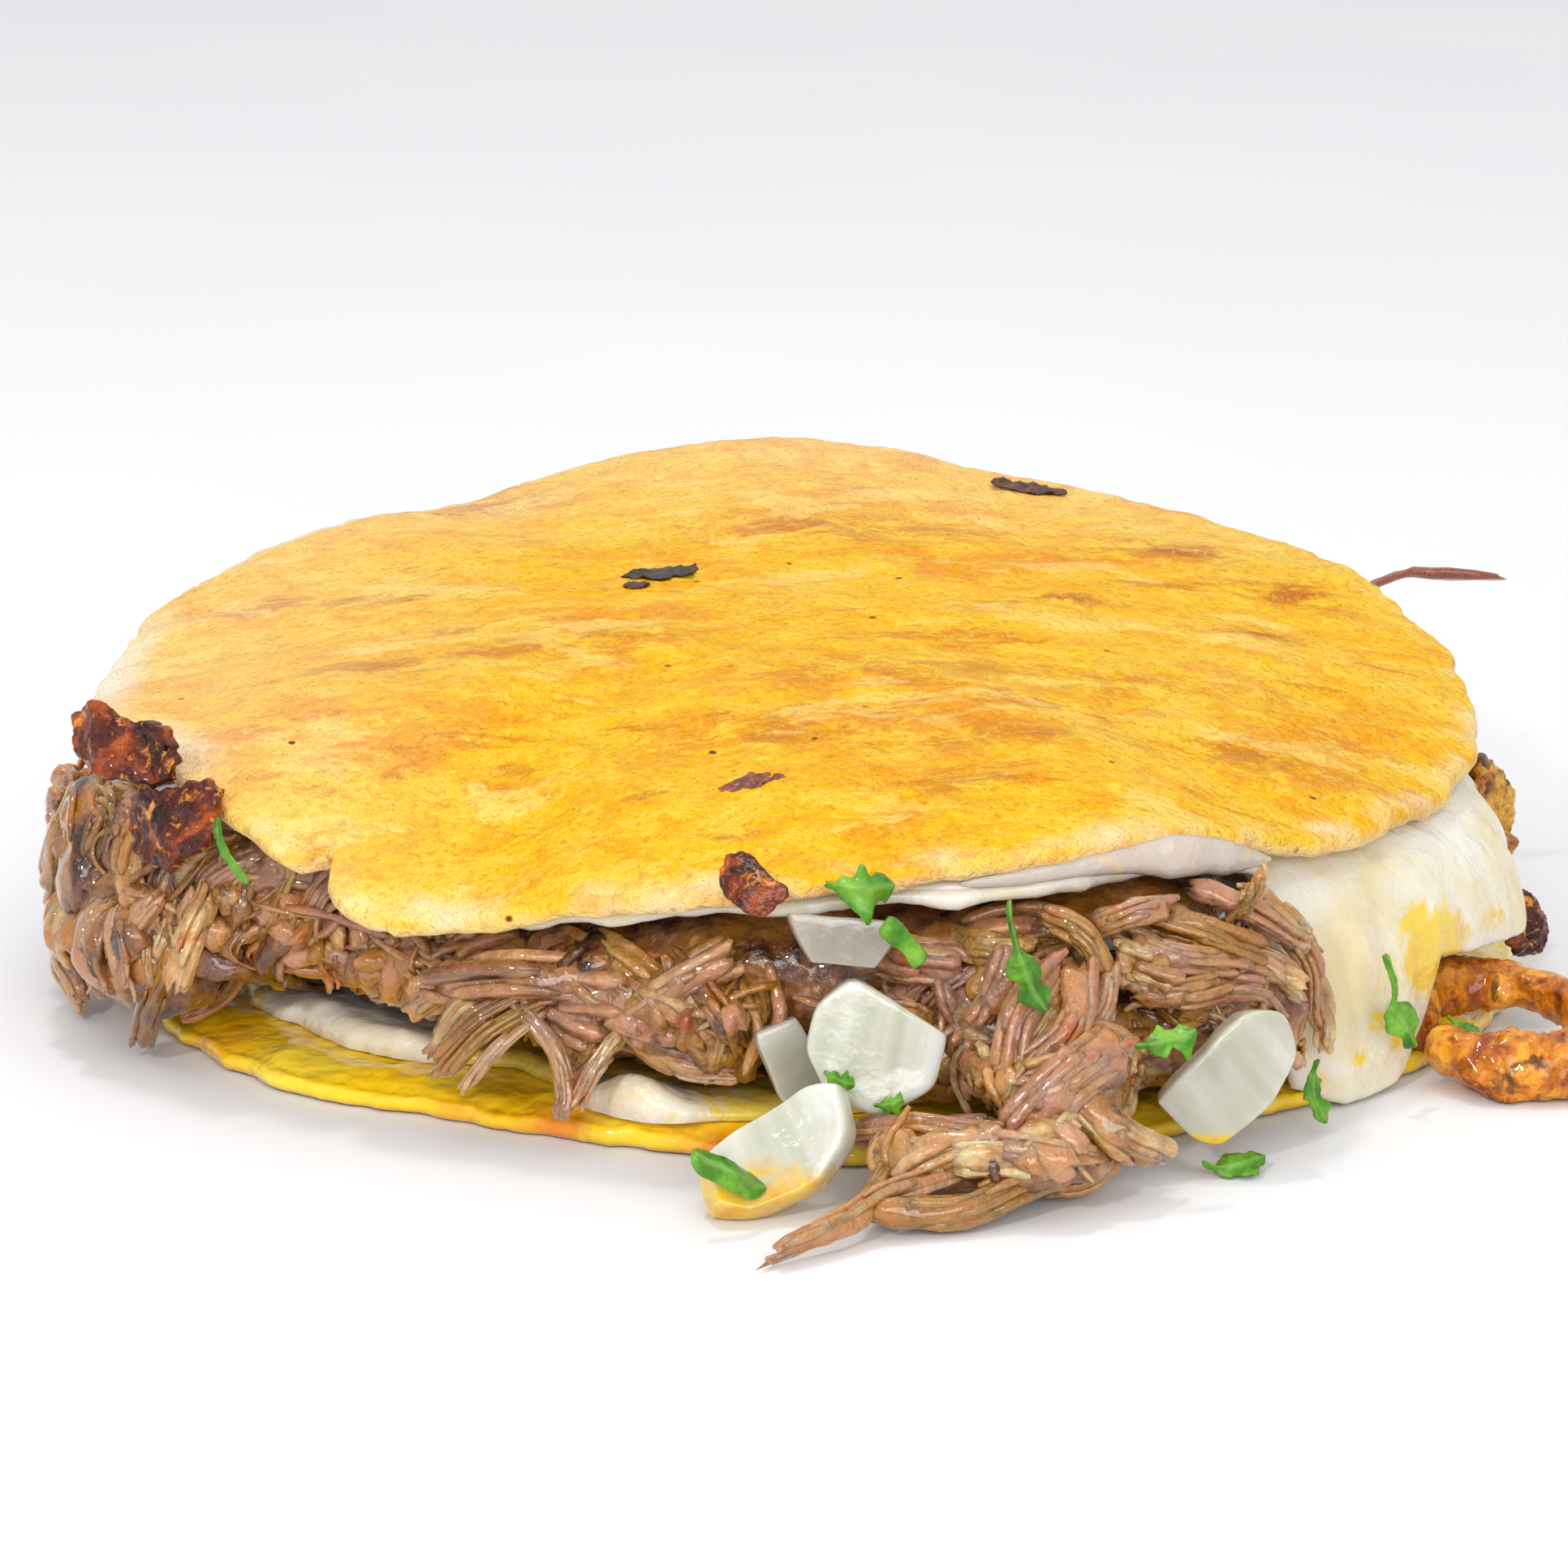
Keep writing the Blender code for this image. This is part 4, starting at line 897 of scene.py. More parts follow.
def cross_frames(centres, outward):
    """Two directions square to the line at each of its points, the second facing outward."""
    ahead = unit(np.gradient(centres, axis=0))
    side = np.cross(ahead, outward)
    weak = np.linalg.norm(side, axis=-1) < 0.25
    side[weak] = np.cross(ahead[weak], np.array([0.3, 0.2, 1.0]))
    side = unit(side)
    return side, np.cross(side, ahead)


def tube(line, width, thickness, sides, stations, ridges, taper, seed, outward=None, twist=0.8):
    """A closed tube along a line in mm, with its fibres' directions for the shader."""
    shares = np.linspace(0, 1, stations)
    centres = along(line, shares) * MM
    if ridges:
        drift = [rough(centres, 4.5 * MM, seed + k, 2) for k in range(3)]
        centres = centres + np.stack(drift, axis=-1) * 0.22 * width
    if outward is None:
        middle = centres.mean(axis=0)
        outward = unit(np.array([middle[0], middle[1], 0.3 * np.hypot(*middle[:2])]))
    side, face = cross_frames(centres, outward)
    angles = np.linspace(0, 2 * math.pi, sides, endpoint=False)[None] + twist * (shares[:, None] - 0.5)
    ends = np.minimum(shares, 1 - shares)[:, None]
    swell = np.clip(ends / 0.09, 0, 1) ** 0.5 * (1 - taper) + taper
    swell = swell * (1 + 0.14 * np.sin(7 * shares[:, None] + seed))
    length = np.linalg.norm(np.diff(centres, axis=0), axis=-1).sum()
    grain = xyz(np.cos(angles), np.sin(angles), shares[:, None] * length / (9 * MM)) + seed * 3.3
    if ridges:
        swell = swell * (1 + ridges * rough(grain, 0.34, 0, 2))
        torn = rough(grain[:1] * [1, 1, 0] + seed, 0.4, 0, 2) * 0.14
        shift = (np.clip(1 - ends / 0.3, 0, 1) ** 2 * np.sign(shares - 0.5)[:, None] * torn)[..., None]
        slide = unit(np.gradient(centres, axis=0))[:, None] * shift * length
    else:
        slide = 0
    across = side[:, None] * (np.cos(angles) * width / 2)[..., None]
    across = across + face[:, None] * (np.sin(angles) * thickness / 2)[..., None]
    return centres[:, None] + across * swell[..., None] + slide, grain


def frayed(draw, line, width, count):
    """Lines of the thin fibres packed round a strand, with their widths. Most peel off at an end."""
    centres = along(np.array(line, float), np.linspace(0, 1, 9))
    middle = centres.mean(axis=0)
    side, face = cross_frames(centres * MM, unit(np.array([middle[0], middle[1], 8.0])))
    made = []
    for index in range(count):
        spin, radius = math.tau * (index + draw.random()) / count, width * draw.uniform(0.34, 0.48)
        fibre = centres + side * math.cos(spin) * radius + face * math.sin(spin) * radius * 0.75
        if draw.random() < 0.45:
            end = draw.choice((0, -1))
            ahead = unit(fibre[end] - fibre[4])
            flare = side[end] * draw.uniform(-1, 1) + face[end] * draw.uniform(-0.3, 1)
            reach = draw.uniform(0.3, 1.5)
            tip = fibre[end] + ahead * reach + flare * reach * 0.6
            fibre = np.concatenate([fibre[3:], [tip]]) if end else np.concatenate([[tip], fibre[:6]])
        else:
            cut = draw.randint(0, 3)
            fibre = fibre[cut:cut + 6]
        made.append((min(0.3 + width * draw.uniform(0.14, 0.32), 1.6), fibre))
    return made


def bundle(heap, draw, tree, line, width, count, tint, hue, char=0.0, outward=None):
    """Adds a strand: a soft core with thin fibres packed round it."""
    sides, stations = (14, 22) if width > 2 else (9, 14)
    seed = draw.uniform(0, 9)
    rows, grain = tube(line, 0.84 * width * MM, 0.62 * width * MM, sides, stations, 0.3, 0.6, seed, outward)
    heap.add(rows, grain=grain, tint=tint - 0.06, hue=hue, char=char)
    for thin, fibre in frayed(draw, line, width, count):
        fibre[:, 2] = np.maximum(fibre[:, 2], 0.7 * thin)
        if is_clear(tree, fibre, thin):
            rows, grain = tube(fibre, thin * MM, 0.75 * thin * MM, 5, 9, 0, 0.5, draw.uniform(0, 9))
            heap.add(rows, grain=grain, tint=tint + draw.uniform(-0.16, 0.16), hue=hue, char=char)


def heap_reach(angle, share):
    """Reach of the heap at a share of its height, drawn in towards its foot."""
    belly, foot = around(HEAP_REACH, angle), around(HEAP_FOOT_REACH, angle)
    rise = np.clip(share, 0, 0.5) * 2
    return foot + (belly - foot) * rise * (2 - rise)


def ceiling(x, y):
    """Height of the heap's top under the upper tortilla."""
    return top_height(x, y) - HEAP_CEILING_DROP


def heap_point(angle, height, outward):
    """A point on the heap's side, in mm. outward is how far it stands proud."""
    angle, height = np.asarray(angle, float), np.asarray(height, float)
    reach = around(HEAP_REACH, angle)
    high = ceiling(reach * np.cos(angle), reach * np.sin(angle))
    share = (height - HEAP_FLOOR) / (high - HEAP_FLOOR)
    reach = heap_reach(angle, share) + outward - 2.1 * MM * (2 * share - 1) ** 2
    return xyz(reach * np.cos(angle), reach * np.sin(angle), height) / MM


def side_line(draw, index, length, outward, span):
    """A line on the heap's side, placed by a golden-angle rule within a span of angles."""
    first, last = span
    angle = math.radians(first + (index * GOLDEN_ANGLE % 360) / 360 * (last - first))
    reach = float(around(HEAP_REACH, np.array(angle)))
    low = HEAP_FLOOR + 0.8 * MM
    high = float(ceiling(reach * math.cos(angle), reach * math.sin(angle))) - 0.8 * MM
    middle = low + (high - low) * (0.04 + 0.92 * (index * GOLDEN_SHARE % 1))
    hangs = bell(turned(math.degrees(angle) - HANG_ANGLE), HANG_SPREAD)
    lean = math.radians(draw.uniform(-75, 75) * (1 - 0.6 * hangs) + 88 * hangs)
    run = (np.linspace(0, 1, 4) - 0.5) * length
    bow = draw.uniform(-2.4, 2.4) * MM * np.array([0, 1, 1, 0])
    heights = np.clip(middle + run * math.sin(lean) + bow * math.cos(lean), low, high)
    angles = angle + (run * math.cos(lean) - bow * math.sin(lean)) / reach
    dips = np.array([draw.uniform(0.2, 2.4), 0, 0, draw.uniform(0.2, 2.4)]) * MM
    if draw.random() < 0.2:
        dips[draw.choice((0, 3))] = -draw.uniform(0.2, 1.0) * MM
    return heap_point(angles, heights, outward - dips)


def mound_line(draw, centre, radii, index, length):
    """A line on a mound's surface, placed by a golden-angle rule, kept above the ground."""
    spin = math.radians(index * GOLDEN_ANGLE)
    level = 0.96 - 1.5 * (index * GOLDEN_SHARE % 1)
    flat = math.sqrt(max(1 - level * level, 0))
    spot = np.array([flat * math.cos(spin), flat * math.sin(spin), level])
    tangent = unit(np.cross(spot, [draw.uniform(-1, 1), draw.uniform(-1, 1), draw.uniform(-1, 1)]))
    if centre[0] < HANG_SIDE:
        down = np.cross(spot, np.cross(spot, [0, 0, 1.0]))
        tangent = unit(down + 0.35 * tangent)
    size = np.array(radii, float)
    steps = (np.linspace(0, 1, 4) - 0.5)[:, None] * length / size.mean()
    ring = unit(spot + tangent * steps)
    proud = np.array([draw.uniform(-1.2, 0.6), 0.2, 0.2, draw.uniform(-1.2, 0.6)])[:, None]
    line = np.array(centre, float) + ring * (size + proud)
    line[:, 2] = np.maximum(line[:, 2], 1.3)
    return line


def obstacles(*pieces):
    """A search tree of what the beef must leave in view: the other CAD nodes and the pieces given."""
    replaced = ("birria_filling", "cheese_upper")
    things = [thing for name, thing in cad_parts.items() if name not in replaced]
    points, faces = [], []
    for thing in things + list(pieces):
        start = len(points)
        points += [thing.matrix_world @ v.co for v in thing.data.vertices]
        faces += [[start + i for i in p.vertices] for p in thing.data.polygons]
    return BVHTree.FromPolygons(points, faces)


def is_clear(tree, line, width):
    """Whether a strand along a line in mm stays off every other node and above the ground."""
    for point in along(line, np.linspace(0, 1, 9)) * MM:
        if point[2] < width * MM / 2 or tree.find_nearest(Vector(point), width * MM / 2 + CLEARANCE)[0]:
            return False
    return True


def beef_core(material):
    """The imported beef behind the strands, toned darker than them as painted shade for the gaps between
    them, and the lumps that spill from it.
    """
    heap = Heap()
    level, angle, flat = ball_grid(np.linspace(-0.998, 0.998, 46), 420)
    height = np.sign(level) * np.abs(level) ** 0.5
    reach = (heap_reach(angle, 0.5 + height / 2) - CORE_INSET) * np.sqrt(flat)
    x, y = reach * np.cos(angle), reach * np.sin(angle)
    high = ceiling(x, y)
    z = (HEAP_FLOOR + high) / 2 + height * (high - HEAP_FLOOR) / 2
    rows = xyz(x, y, z)
    push = 1.3 * rough(rows, 6 * MM, 51) + 0.9 * rough(rows * [1, 1, 0.6], 2.2 * MM, 52)
    outward = xyz(np.cos(angle), np.sin(angle), 0) * flat[..., None]
    rows = rows + outward * (push * MM)[..., None]
    # Painted shade: the core is toned darker than the strands, so the gaps between them read dark
    heap.add(rows, grain=rows / (2.4 * MM), tint=0.27 + 0.3 * rough(rows, 5 * MM, 53), hue=0.5, char=0.0)
    for number, (centre, radii) in enumerate(MOUNDS):
        level, angle, flat = ball_grid(np.sin(np.linspace(-1.56, 1.56, 28)), 56)
        ball = xyz(flat * np.cos(angle), flat * np.sin(angle), level)
        rows = (np.array(centre) + ball * np.array(radii) * 0.92) * MM
        rows = rows + ball * (0.9 * MM * rough(rows, 3.4 * MM, 60 + number))[..., None]
        rows[..., 2] = np.maximum(rows[..., 2], 0.4 * MM)
        heap.add(rows, grain=rows / (2.4 * MM), tint=0.35 + 0.3 * rough(rows, 4 * MM, 70), hue=0.5, char=0.0)
    return heap.make("beef_core", material, *BEEF_NODE)


def beef_bundles(material, tree):
    """The strands that show one by one."""
    draw = random.Random(BEEF_SEED)
    heap = Heap()
    last = len(STRANDS) - 1
    for number, (width, line) in enumerate(STRANDS + LOOSE_STRANDS):
        burnt = number == last
        count = 0 if burnt else 5 + int(1.8 * width)
        bundle(heap, draw, tree, line, width, count, draw.uniform(0.34, 0.88), draw.random(), 0.85 * burnt)
    return heap.make("beef_bundles", material, *BEEF_NODE)


def beef_mounds(material, tree):
    """The strands that cover the lumps spilled from the heap."""
    draw = random.Random(f"{BEEF_SEED} mounds")
    heap = Heap()
    for centre, radii in MOUNDS:
        for index in range(MOUND_STRANDS):
            line = mound_line(draw, centre, radii, index, draw.uniform(5, 14))
            width = draw.choice((1.0, 1.6, 2.2, 3.0, 3.8))
            if is_clear(tree, line, width):
                outward = unit(line.mean(axis=0) - np.array(centre))
                tint = draw.uniform(0.32, 0.9) + PALE_SPILL * (centre[1] < SPILL_FRONT)
                bundle(heap, draw, tree, line, width, 4, tint, draw.random(), 0.0, outward)
    return heap.make("beef_mounds", material, *BEEF_NODE)


def beef_chunks(material, tree):
    """Thick strands on the heap's side, each a bundle of fibres."""
    draw = random.Random(f"{BEEF_SEED} chunks")
    heap = Heap()
    for index in range(CHUNKS):
        length = draw.uniform(7, 18) * MM
        line = side_line(draw, index + 1, length, draw.uniform(-2.6, -0.2) * MM, AT_FRONT)
        width = draw.choice((2.0, 2.8, 3.6, 4.6, 5.8))
        if is_clear(tree, line, width):
            bundle(heap, draw, tree, line, width, 7, draw.uniform(0.16, 0.78), draw.random())
    return heap.make("beef_chunks", material, *BEEF_NODE)


def beef_strands(material, tree, name, count, span, widths, lengths, proud, sides, stations):
    """Single strands on the heap's side, between two angles."""
    draw = random.Random(f"{BEEF_SEED} {name}")
    heap = Heap()
    for index in range(count):
        length = draw.uniform(*lengths) * MM
        line = side_line(draw, index + 1, length, draw.uniform(*proud) * MM, span)
        width = draw.uniform(*widths)
        if is_clear(tree, line, width):
            ridges = 0.16 if sides > 6 else 0
            seed = draw.uniform(0, 9)
            rows, grain = tube(line, width * MM, 0.66 * width * MM, sides, stations, ridges, 0.6, seed)
            heap.add(rows, grain=grain, tint=draw.uniform(0.12, 0.7), hue=draw.random(), char=0.0)
    return heap.make(name, material, *BEEF_NODE)


def beef_bits(material, tree):
    """Small lumps of beef and fat among the strands."""
    draw = random.Random(f"{BEEF_SEED} bits")
    heap = Heap()
    level, angle, flat = ball_grid(np.linspace(-0.95, 0.95, 7), 10)
    ball = xyz(flat * np.cos(angle), flat * np.sin(angle), level)
    for index in range(BITS):
        line = side_line(draw, index + 7, 4 * MM, draw.uniform(-1.6, 0.2) * MM, BITS_SPAN)
        size = draw.uniform(*BITS_SIZES)
        if not is_clear(tree, line[1:3], 2 * size):
            continue
        turn = Euler([draw.uniform(0, math.pi) for _ in range(3)]).to_matrix()
        stretch = np.array([size * draw.uniform(0.9, 1.7), size, size * draw.uniform(0.5, 0.9)])
        shape = ball * stretch * (1 + 0.4 * rough(ball, 0.8, index))[..., None]
        rows = (line[1:3].mean(axis=0) + shape @ np.array(turn)) * MM
        heap.add(rows, grain=ball + index, tint=draw.uniform(0.3, 0.9), hue=draw.random(), char=0.0)
    return heap.make("beef_bits", material, *BEEF_NODE)


def disc_form(cells, place):
    """A square grid drawn out to a round sheet. place(share, angle) gives each point."""
    form = bmesh.new()
    bmesh.ops.create_grid(form, x_segments=cells, y_segments=cells, size=1)
    for vertex in form.verts:
        a, b = vertex.co.x, vertex.co.y
        if abs(a) < 1e-6 and abs(b) < 1e-6:
            share, angle = 0.0, 0.0
        elif abs(a) > abs(b):
            share, angle = abs(a), math.pi / 4 * b / a + (math.pi if a < 0 else 0)
        else:
            share, angle = abs(b), math.pi / 2 - math.pi / 4 * a / b + (math.pi if b < 0 else 0)
        vertex.co = place(share, angle)
    return form


def slab_form(cells, half_width, half_height, taper, bend_radius, squareness=3.6):
    """A rounded oblong sheet in its own XY plane, wider at one end and bent across its width."""
    def place(share, angle):
        cos, sin = math.cos(angle), math.sin(angle)
        grow = (abs(cos) ** squareness + abs(sin) ** squareness) ** (-1 / squareness)
        x, y = half_width * share * grow * cos, half_height * share * grow * sin
        x *= 1 + taper * y / half_height
        return Vector((x, y, -x * x / (2 * bend_radius)))

    return disc_form(cells, place)


def worked(form, *modifiers):
    """A bmesh with modifiers applied, as a new mesh. Each is a type and its settings."""
    mesh = bpy.data.meshes.new("work")
    form.to_mesh(mesh)
    form.free()
    thing = linked("work", mesh)
    for kind, settings in modifiers:
        modifier = thing.modifiers.new(kind, kind)
        for name, value in settings.items():
            setattr(modifier, name, value)
    graph = bpy.context.evaluated_depsgraph_get()
    graph.update()
    done = bpy.data.meshes.new_from_object(thing.evaluated_get(graph))
    bpy.data.objects.remove(thing)
    bpy.data.meshes.remove(mesh)
    return done


def read_points(mesh):
    """The points of a mesh as rows of coordinates."""
    points = np.zeros(len(mesh.vertices) * 3)
    mesh.vertices.foreach_get("co", points)
    return points.reshape(-1, 3)


def move_points(mesh, points):
    """Sets the points of a mesh from rows of coordinates."""
    mesh.vertices.foreach_set("co", points.ravel())
    mesh.update()


def turn_matrix(turn):
    """The rotation for a turn in degrees about X, Y and Z."""
    return Euler([math.radians(t) for t in turn]).to_matrix()


def placed(name, mesh, centre, turn, material, slot, *nodes):
    """A worked mesh set down where its CAD node lies, with its own coordinates kept as grain."""
    points = read_points(mesh)
    store = mesh.attributes.new("grain", "FLOAT_VECTOR", "POINT")
    store.data.foreach_set("vector", points.ravel())
    points = points @ np.array(turn_matrix(turn)).T + np.array(centre) * MM
    points[:, 2] = np.maximum(points[:, 2], GROUND_CLEARANCE)
    move_points(mesh, points)
    mesh.name = name
    return adopt(name, mesh, material, slot, *nodes)


def shake(mesh, size, depth, seed, octaves=3):
    """Moves a mesh's points along their normals by smooth random amounts."""
    points = read_points(mesh)
    normals = np.zeros(points.size)
    mesh.vertex_normals.foreach_get("vector", normals)
    push = rough(points, size, seed, octaves) * depth
    move_points(mesh, points + normals.reshape(-1, 3) * push[:, None])


def write_mark(mesh, name, values):
    """Stores a value for the shader at each point of a mesh."""
    store = mesh.attributes.new(name, "FLOAT", "POINT")
    store.data.foreach_set("value", np.array(values, np.float32))


def outline_reach(corners, angle):
    """How far an outline through corners lies from its middle, in one direction."""
    across, up = math.cos(angle), math.sin(angle)
    for (ax, ay), (bx, by) in zip(corners, corners[1:] + corners[:1]):
        slope = across * (by - ay) - up * (bx - ax)
        if abs(slope) < 1e-9:
            continue
        reach = (ax * (by - ay) - ay * (bx - ax)) / slope
        share = (ax * up - ay * across) / slope
        if reach > 0 and -1e-6 <= share <= 1 + 1e-6:
            return reach


def onion_pieces(material):
    """Each diced piece: an outline with rounded edges, bent like the layer it was cut from."""
    for name, centre, turn, thickness, bend in ONIONS:
        corners = ONION_CORNERS[name]

        def place(share, angle, corners=corners, bend=bend):
            reach = share * outline_reach(corners, angle)
            x, y = reach * math.cos(angle), reach * math.sin(angle)
            return Vector((x, y, -x * x / (2 * bend))) * MM

        mesh = worked(
            disc_form(16, place),
            ("SOLIDIFY", {"thickness": thickness * MM, "offset": 0, "use_even_offset": False}),
            ("BEVEL", {"width": 0.9 * MM, "segments": 3, "angle_limit": math.radians(50)}),
            ("SMOOTH", {"factor": 0.5, "iterations": 9}),
            ("SUBSURF", {"levels": 1, "render_levels": 1}),
        )
        shake(mesh, 5 * MM, 0.3 * MM, centre[0], 1)
        upright = turn_matrix(turn)
        low = [(upright @ v.co).z / MM for v in mesh.vertices]
        edge = ONION_STAINS.get(name, 0)
        bottom = min(low)
        write_mark(mesh, "stain", [max(0.0, 1 - (z - bottom) / edge) ** 0.6 if edge else 0.0 for z in low])
        write_mark(mesh, "clear", [ONION_CLEARNESS.get(name, 0.0)] * len(low))
        placed(name + "_looks", mesh, centre, turn, material, "raw_onion", name)


def crisp_pieces(dark, golden):
    """The ragged crisps of fried cheese."""
    for name, centre, turn, half_width, half_height, thickness, wave in CRISPS:
        form = slab_form(28, half_width * MM, half_height * MM, 0.15, 40 * MM)
        for vertex in form.verts:
            x, y = vertex.co.x / MM, vertex.co.y / MM
            vertex.co.z += wave * MM * math.sin(0.6 * x + 0.5 * y + centre[0])
            vertex.co.y += 0.12 * half_height * MM * math.sin(0.9 * x + centre[1])
            ragged = noise.fractal(Vector((x, y, centre[0])) * 0.9, 1.0, 2.0, 2)
            vertex.co.xy *= 1 + 0.12 * ragged * math.hypot(x / half_width, y / half_height)
        mesh = worked(
            form,
            ("SOLIDIFY", {"thickness": thickness * 0.8 * MM, "offset": 0, "use_even_offset": False}),
            ("SUBSURF", {"levels": 1, "render_levels": 1}),
        )
        shake(mesh, 1.9 * MM, 0.4 * MM * min(thickness, 2) / 2, centre[1])
        shake(mesh, 0.8 * MM, 0.26 * MM * min(thickness, 2) / 2, centre[0])
        material = golden if name == "crisp_right_upper" else dark
        placed(name + "_looks", mesh, centre, turn, material, "crisp_cheese", name)


def curl_piece(material):
    """The curl of fried skirt at the right."""
    steps = np.radians(-178 + 31 * np.arange(12))
    x, y = CURL_RADII[0] * np.cos(steps), CURL_RADII[1] * np.sin(steps)
    turn = math.radians(CURL_TURN)
    right = x * math.cos(turn) - y * math.sin(turn)
    back = x * math.sin(turn) + y * math.cos(turn)
    line = np.array(CURL_CENTRE) + xyz(right, back, CURL_LEAN * back)
    heap = Heap()
    rows, _ = tube(line, CURL_HEIGHT, CURL_THICKNESS, 40, 150, 0.0, 0.75, 0, None, 0.6)
    centres = rows.mean(axis=1, keepdims=True)
    push = 1 + 0.22 * rough(rows, 3 * MM, 81) + 0.12 * rough(rows, 1.1 * MM, 82)
    rows = centres + (rows - centres) * push[..., None]
    rows[..., 2] = np.maximum(rows[..., 2], 0.3 * MM)
    heap.add(rows)
    heap.make("crisp_curl_looks", material, "crisp_cheese", "crisp_curl")


def leaf_mesh(kind, half_length, half_width, seed):
    """A thin wavy leaf with a stem and ragged lobes, or a plain strip of one."""
    form = bmesh.new()
    bmesh.ops.create_grid(form, x_segments=22, y_segments=6, size=1)
    vein = form.verts.layers.float.new("vein")
    blade_start = {"leaf": -0.6, "sprig": -0.15, "strip": -1}[kind]
    for vertex in form.verts:
        s, u = vertex.co.x, vertex.co.y
        blade = min(max((s - blade_start) / (1 - blade_start), 0), 1)
        edge = noise.fractal(Vector((3.4 * s, math.copysign(1.5, u), seed * 3.1)), 1.0, 2.0, 3)
        if kind == "strip":
            width = (1 - abs(s) ** 5) ** 0.5
        else:
            width = 0.13 + 0.87 * math.sin(math.pi * blade) ** 0.6 * max(1 + 1.1 * edge, 0.2)
        bow = 0.16 * half_length * (s * s - 0.4)
        x, y = half_length * s, half_width * width * u + bow
        z = 0.4 * math.sin(0.9 * x + seed) + 0.22 * math.sin(2.3 * y + seed) - 0.35 * half_width * abs(u)
        vertex[vein] = math.exp(-(u / 0.12) ** 2)
        vertex.co = Vector((x, y, z)) * MM
    solid = {"thickness": LEAF_THICKNESS, "offset": 0, "use_even_offset": False}
    mesh = worked(form, ("SOLIDIFY", solid), ("SUBSURF", {"levels": 1, "render_levels": 1}))
    shake(mesh, 1.6 * MM, 0.15 * MM, seed)
    return mesh


def cilantro_pieces(material):
    """The leaves, stems and strips of cilantro, and their crumbs."""
    for index, (kind, centre, turn, half_length, half_width) in enumerate(CILANTRO, 1):
        name = f"cilantro_{index}"
        if kind == "stem":
            line = [(s * half_length, 0.2 * (1 - abs(s)), 0) for s in (-1, 0, 1)]
            heap = Heap()
            rows, _ = tube(line, 2 * half_width * MM, 1.8 * half_width * MM, 24, 30, 0, 0.75, 0,
                           np.array([0, 0, 1.0]), 0)
            heap.add(rows)
            mesh = bpy.data.meshes.new(name)
            mesh.from_pydata(np.concatenate(heap.points).tolist(), [], heap.faces)
            shake(mesh, 1.4 * MM, 0.12 * MM, index)
        else:
            mesh = leaf_mesh(kind, half_length, half_width, index)
        placed(name + "_looks", mesh, centre, turn, material, "cilantro_leaf", name)
    for index, (centre, turn, half_length, half_width) in enumerate(CILANTRO_CRUMBS):
        mesh = leaf_mesh("leaf", half_length, half_width, 20 + index)
        placed(f"cilantro_crumb_{index + 1}", mesh, centre, turn, material, "cilantro_leaf")


def burnt_flecks(material):
    """Small burnt scraps stuck to the upper tortilla."""
    heap = Heap()
    for number, (cx, cy, turn, half_length, half_width, black) in enumerate(FLECKS):
        level, angle, flat = ball_grid(np.sin(np.linspace(-1.5, 1.5, 14)), 48)
        ragged = 1 + 0.35 * rough(xyz(np.cos(angle), np.sin(angle), number), 0.5, number)
        x, y = half_length * flat * ragged * np.cos(angle), half_width * flat * ragged * np.sin(angle)
        spin = math.radians(turn)
        x, y = cx + x * math.cos(spin) - y * math.sin(spin), cy + x * math.sin(spin) + y * math.cos(spin)
        ground = top_height(x * MM, y * MM) + 0.15 * MM
        curl = 0.6 * MM * np.abs(rough(xyz(x, y, 0) * MM, 1.6 * MM, number + 90))
        heap.add(xyz(x * MM, y * MM, ground + level * 0.3 * MM + curl), black=black)
    heap.make("burnt_flecks", material, "masa_griddled")


def stage():
    """A pale floor, as in a studio."""
    paint = Paint("floor", Specular_IOR_Level=0.05)
    tint = paint.clouds(0.2, 2)
    colour = paint.ramp(tint, (0.3, "E8E8EB"), (0.7, "ECECEE"))
    material = paint.finish(colour, 0.6)
    corners = [(x * FLOOR_HALF, y * FLOOR_HALF, 0) for x, y in ((-1, -1), (1, -1), (1, 1), (-1, 1))]
    mesh = bpy.data.meshes.new("floor")
    mesh.from_pydata(corners, [], [(0, 1, 2, 3)])
    mesh.materials.append(material)
    floor = linked("floor", mesh)


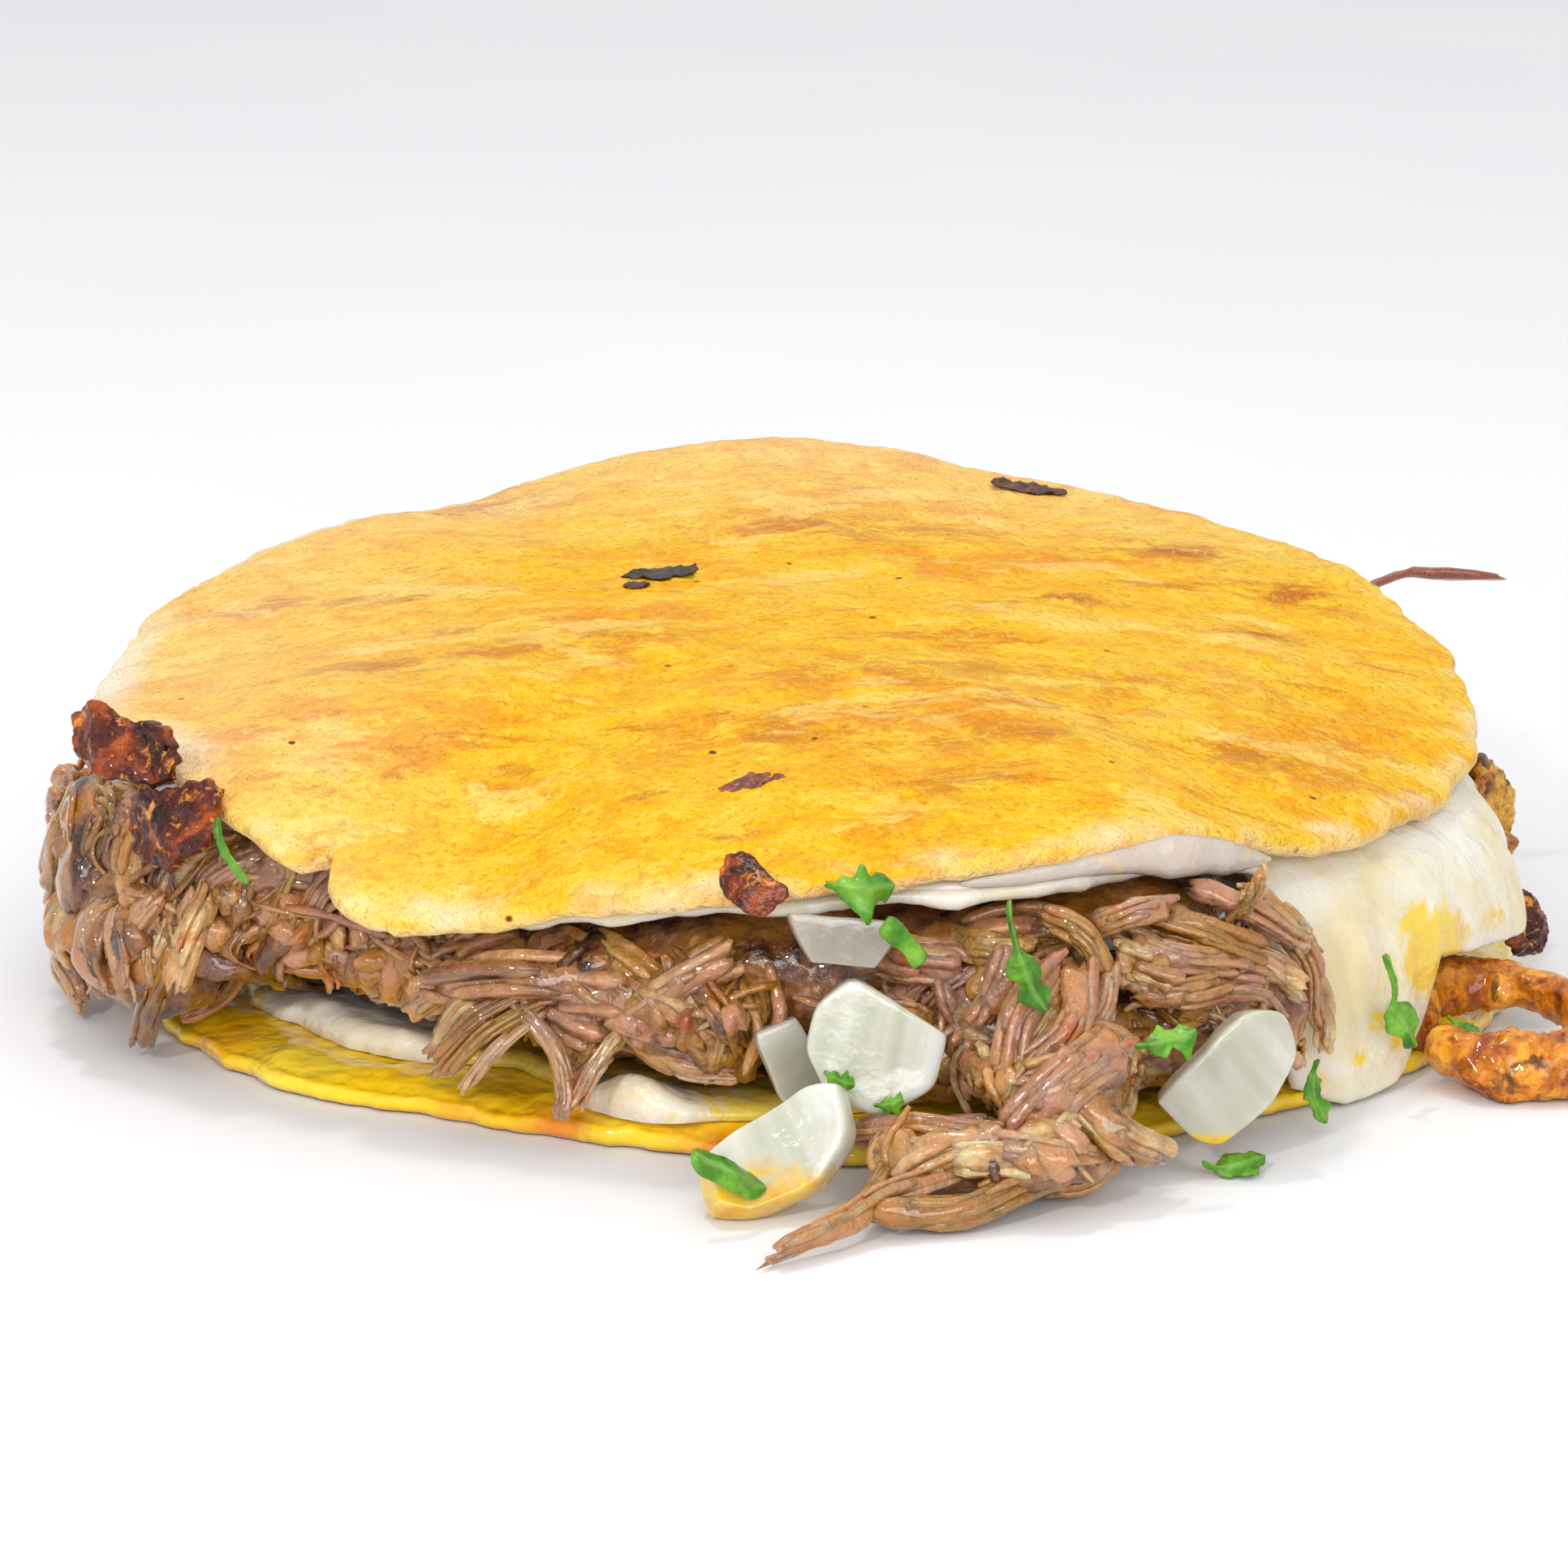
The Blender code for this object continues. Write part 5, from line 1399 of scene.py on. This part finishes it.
def soft_light(name, place, aim, size, power, colour):
    """A rectangular light that faces a point."""
    light = bpy.data.lights.new(name, "AREA")
    light.shape = "RECTANGLE"
    light.size, light.size_y = size
    light.energy = power
    light.color = colour
    thing = linked(name, light)
    thing.location = place
    thing.rotation_euler = (Vector(aim) - Vector(place)).to_track_quat("-Z", "Y").to_euler()


def light_and_camera():
    """The studio's sky and lights, and the photograph's view."""
    scene = bpy.context.scene
    world = bpy.data.worlds.new("studio")
    world.use_nodes = True
    sky = world.node_tree.nodes["Background"]
    sky.inputs["Color"].default_value = SKY_COLOUR
    sky.inputs["Strength"].default_value = SKY_STRENGTH
    scene.world = world
    for row in LIGHTS:
        soft_light(*row)
    scene.view_settings.view_transform = "Standard"
    elevation = math.radians(CAMERA_ELEVATION)
    lens = bpy.data.cameras.new("photo_view")
    lens.angle = math.radians(CAMERA_FIELD)
    lens.clip_start = 0.01
    camera = linked("photo_view", lens)
    camera.location = CAMERA_AIM + Vector((0, -math.cos(elevation), math.sin(elevation))) * CAMERA_DISTANCE
    camera.rotation_euler = (math.pi / 2 - elevation, 0, 0)
    scene.camera = camera


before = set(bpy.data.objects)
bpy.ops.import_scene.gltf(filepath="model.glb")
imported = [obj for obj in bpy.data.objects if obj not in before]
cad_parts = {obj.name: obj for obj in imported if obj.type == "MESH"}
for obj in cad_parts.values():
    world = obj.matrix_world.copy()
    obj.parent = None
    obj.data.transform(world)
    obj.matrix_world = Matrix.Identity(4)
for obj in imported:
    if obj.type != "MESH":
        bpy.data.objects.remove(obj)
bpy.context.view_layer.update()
light_and_camera()
stage()
upper_tortilla(masa_griddled())
lower_tortilla(masa_oiled())
cheese = melted_cheese()
melted = upper_cheese(cheese)
lower_cheese(cheese)
beef = shredded_beef()
in_view = obstacles(melted)
beef_core(beef)
beef_bundles(beef, in_view)
beef_mounds(beef, in_view)
beef_chunks(beef, in_view)
for row in STRAND_LAYERS:
    beef_strands(beef, in_view, *row)
beef_bits(beef, in_view)
onion_pieces(raw_onion())
dark, golden, orange = (crisp_cheese(*row) for row in CRISP_COLOURS)
crisp_pieces(dark, golden)
curl_piece(orange)
cilantro_pieces(cilantro_leaf())
burnt_flecks(charred_fleck())
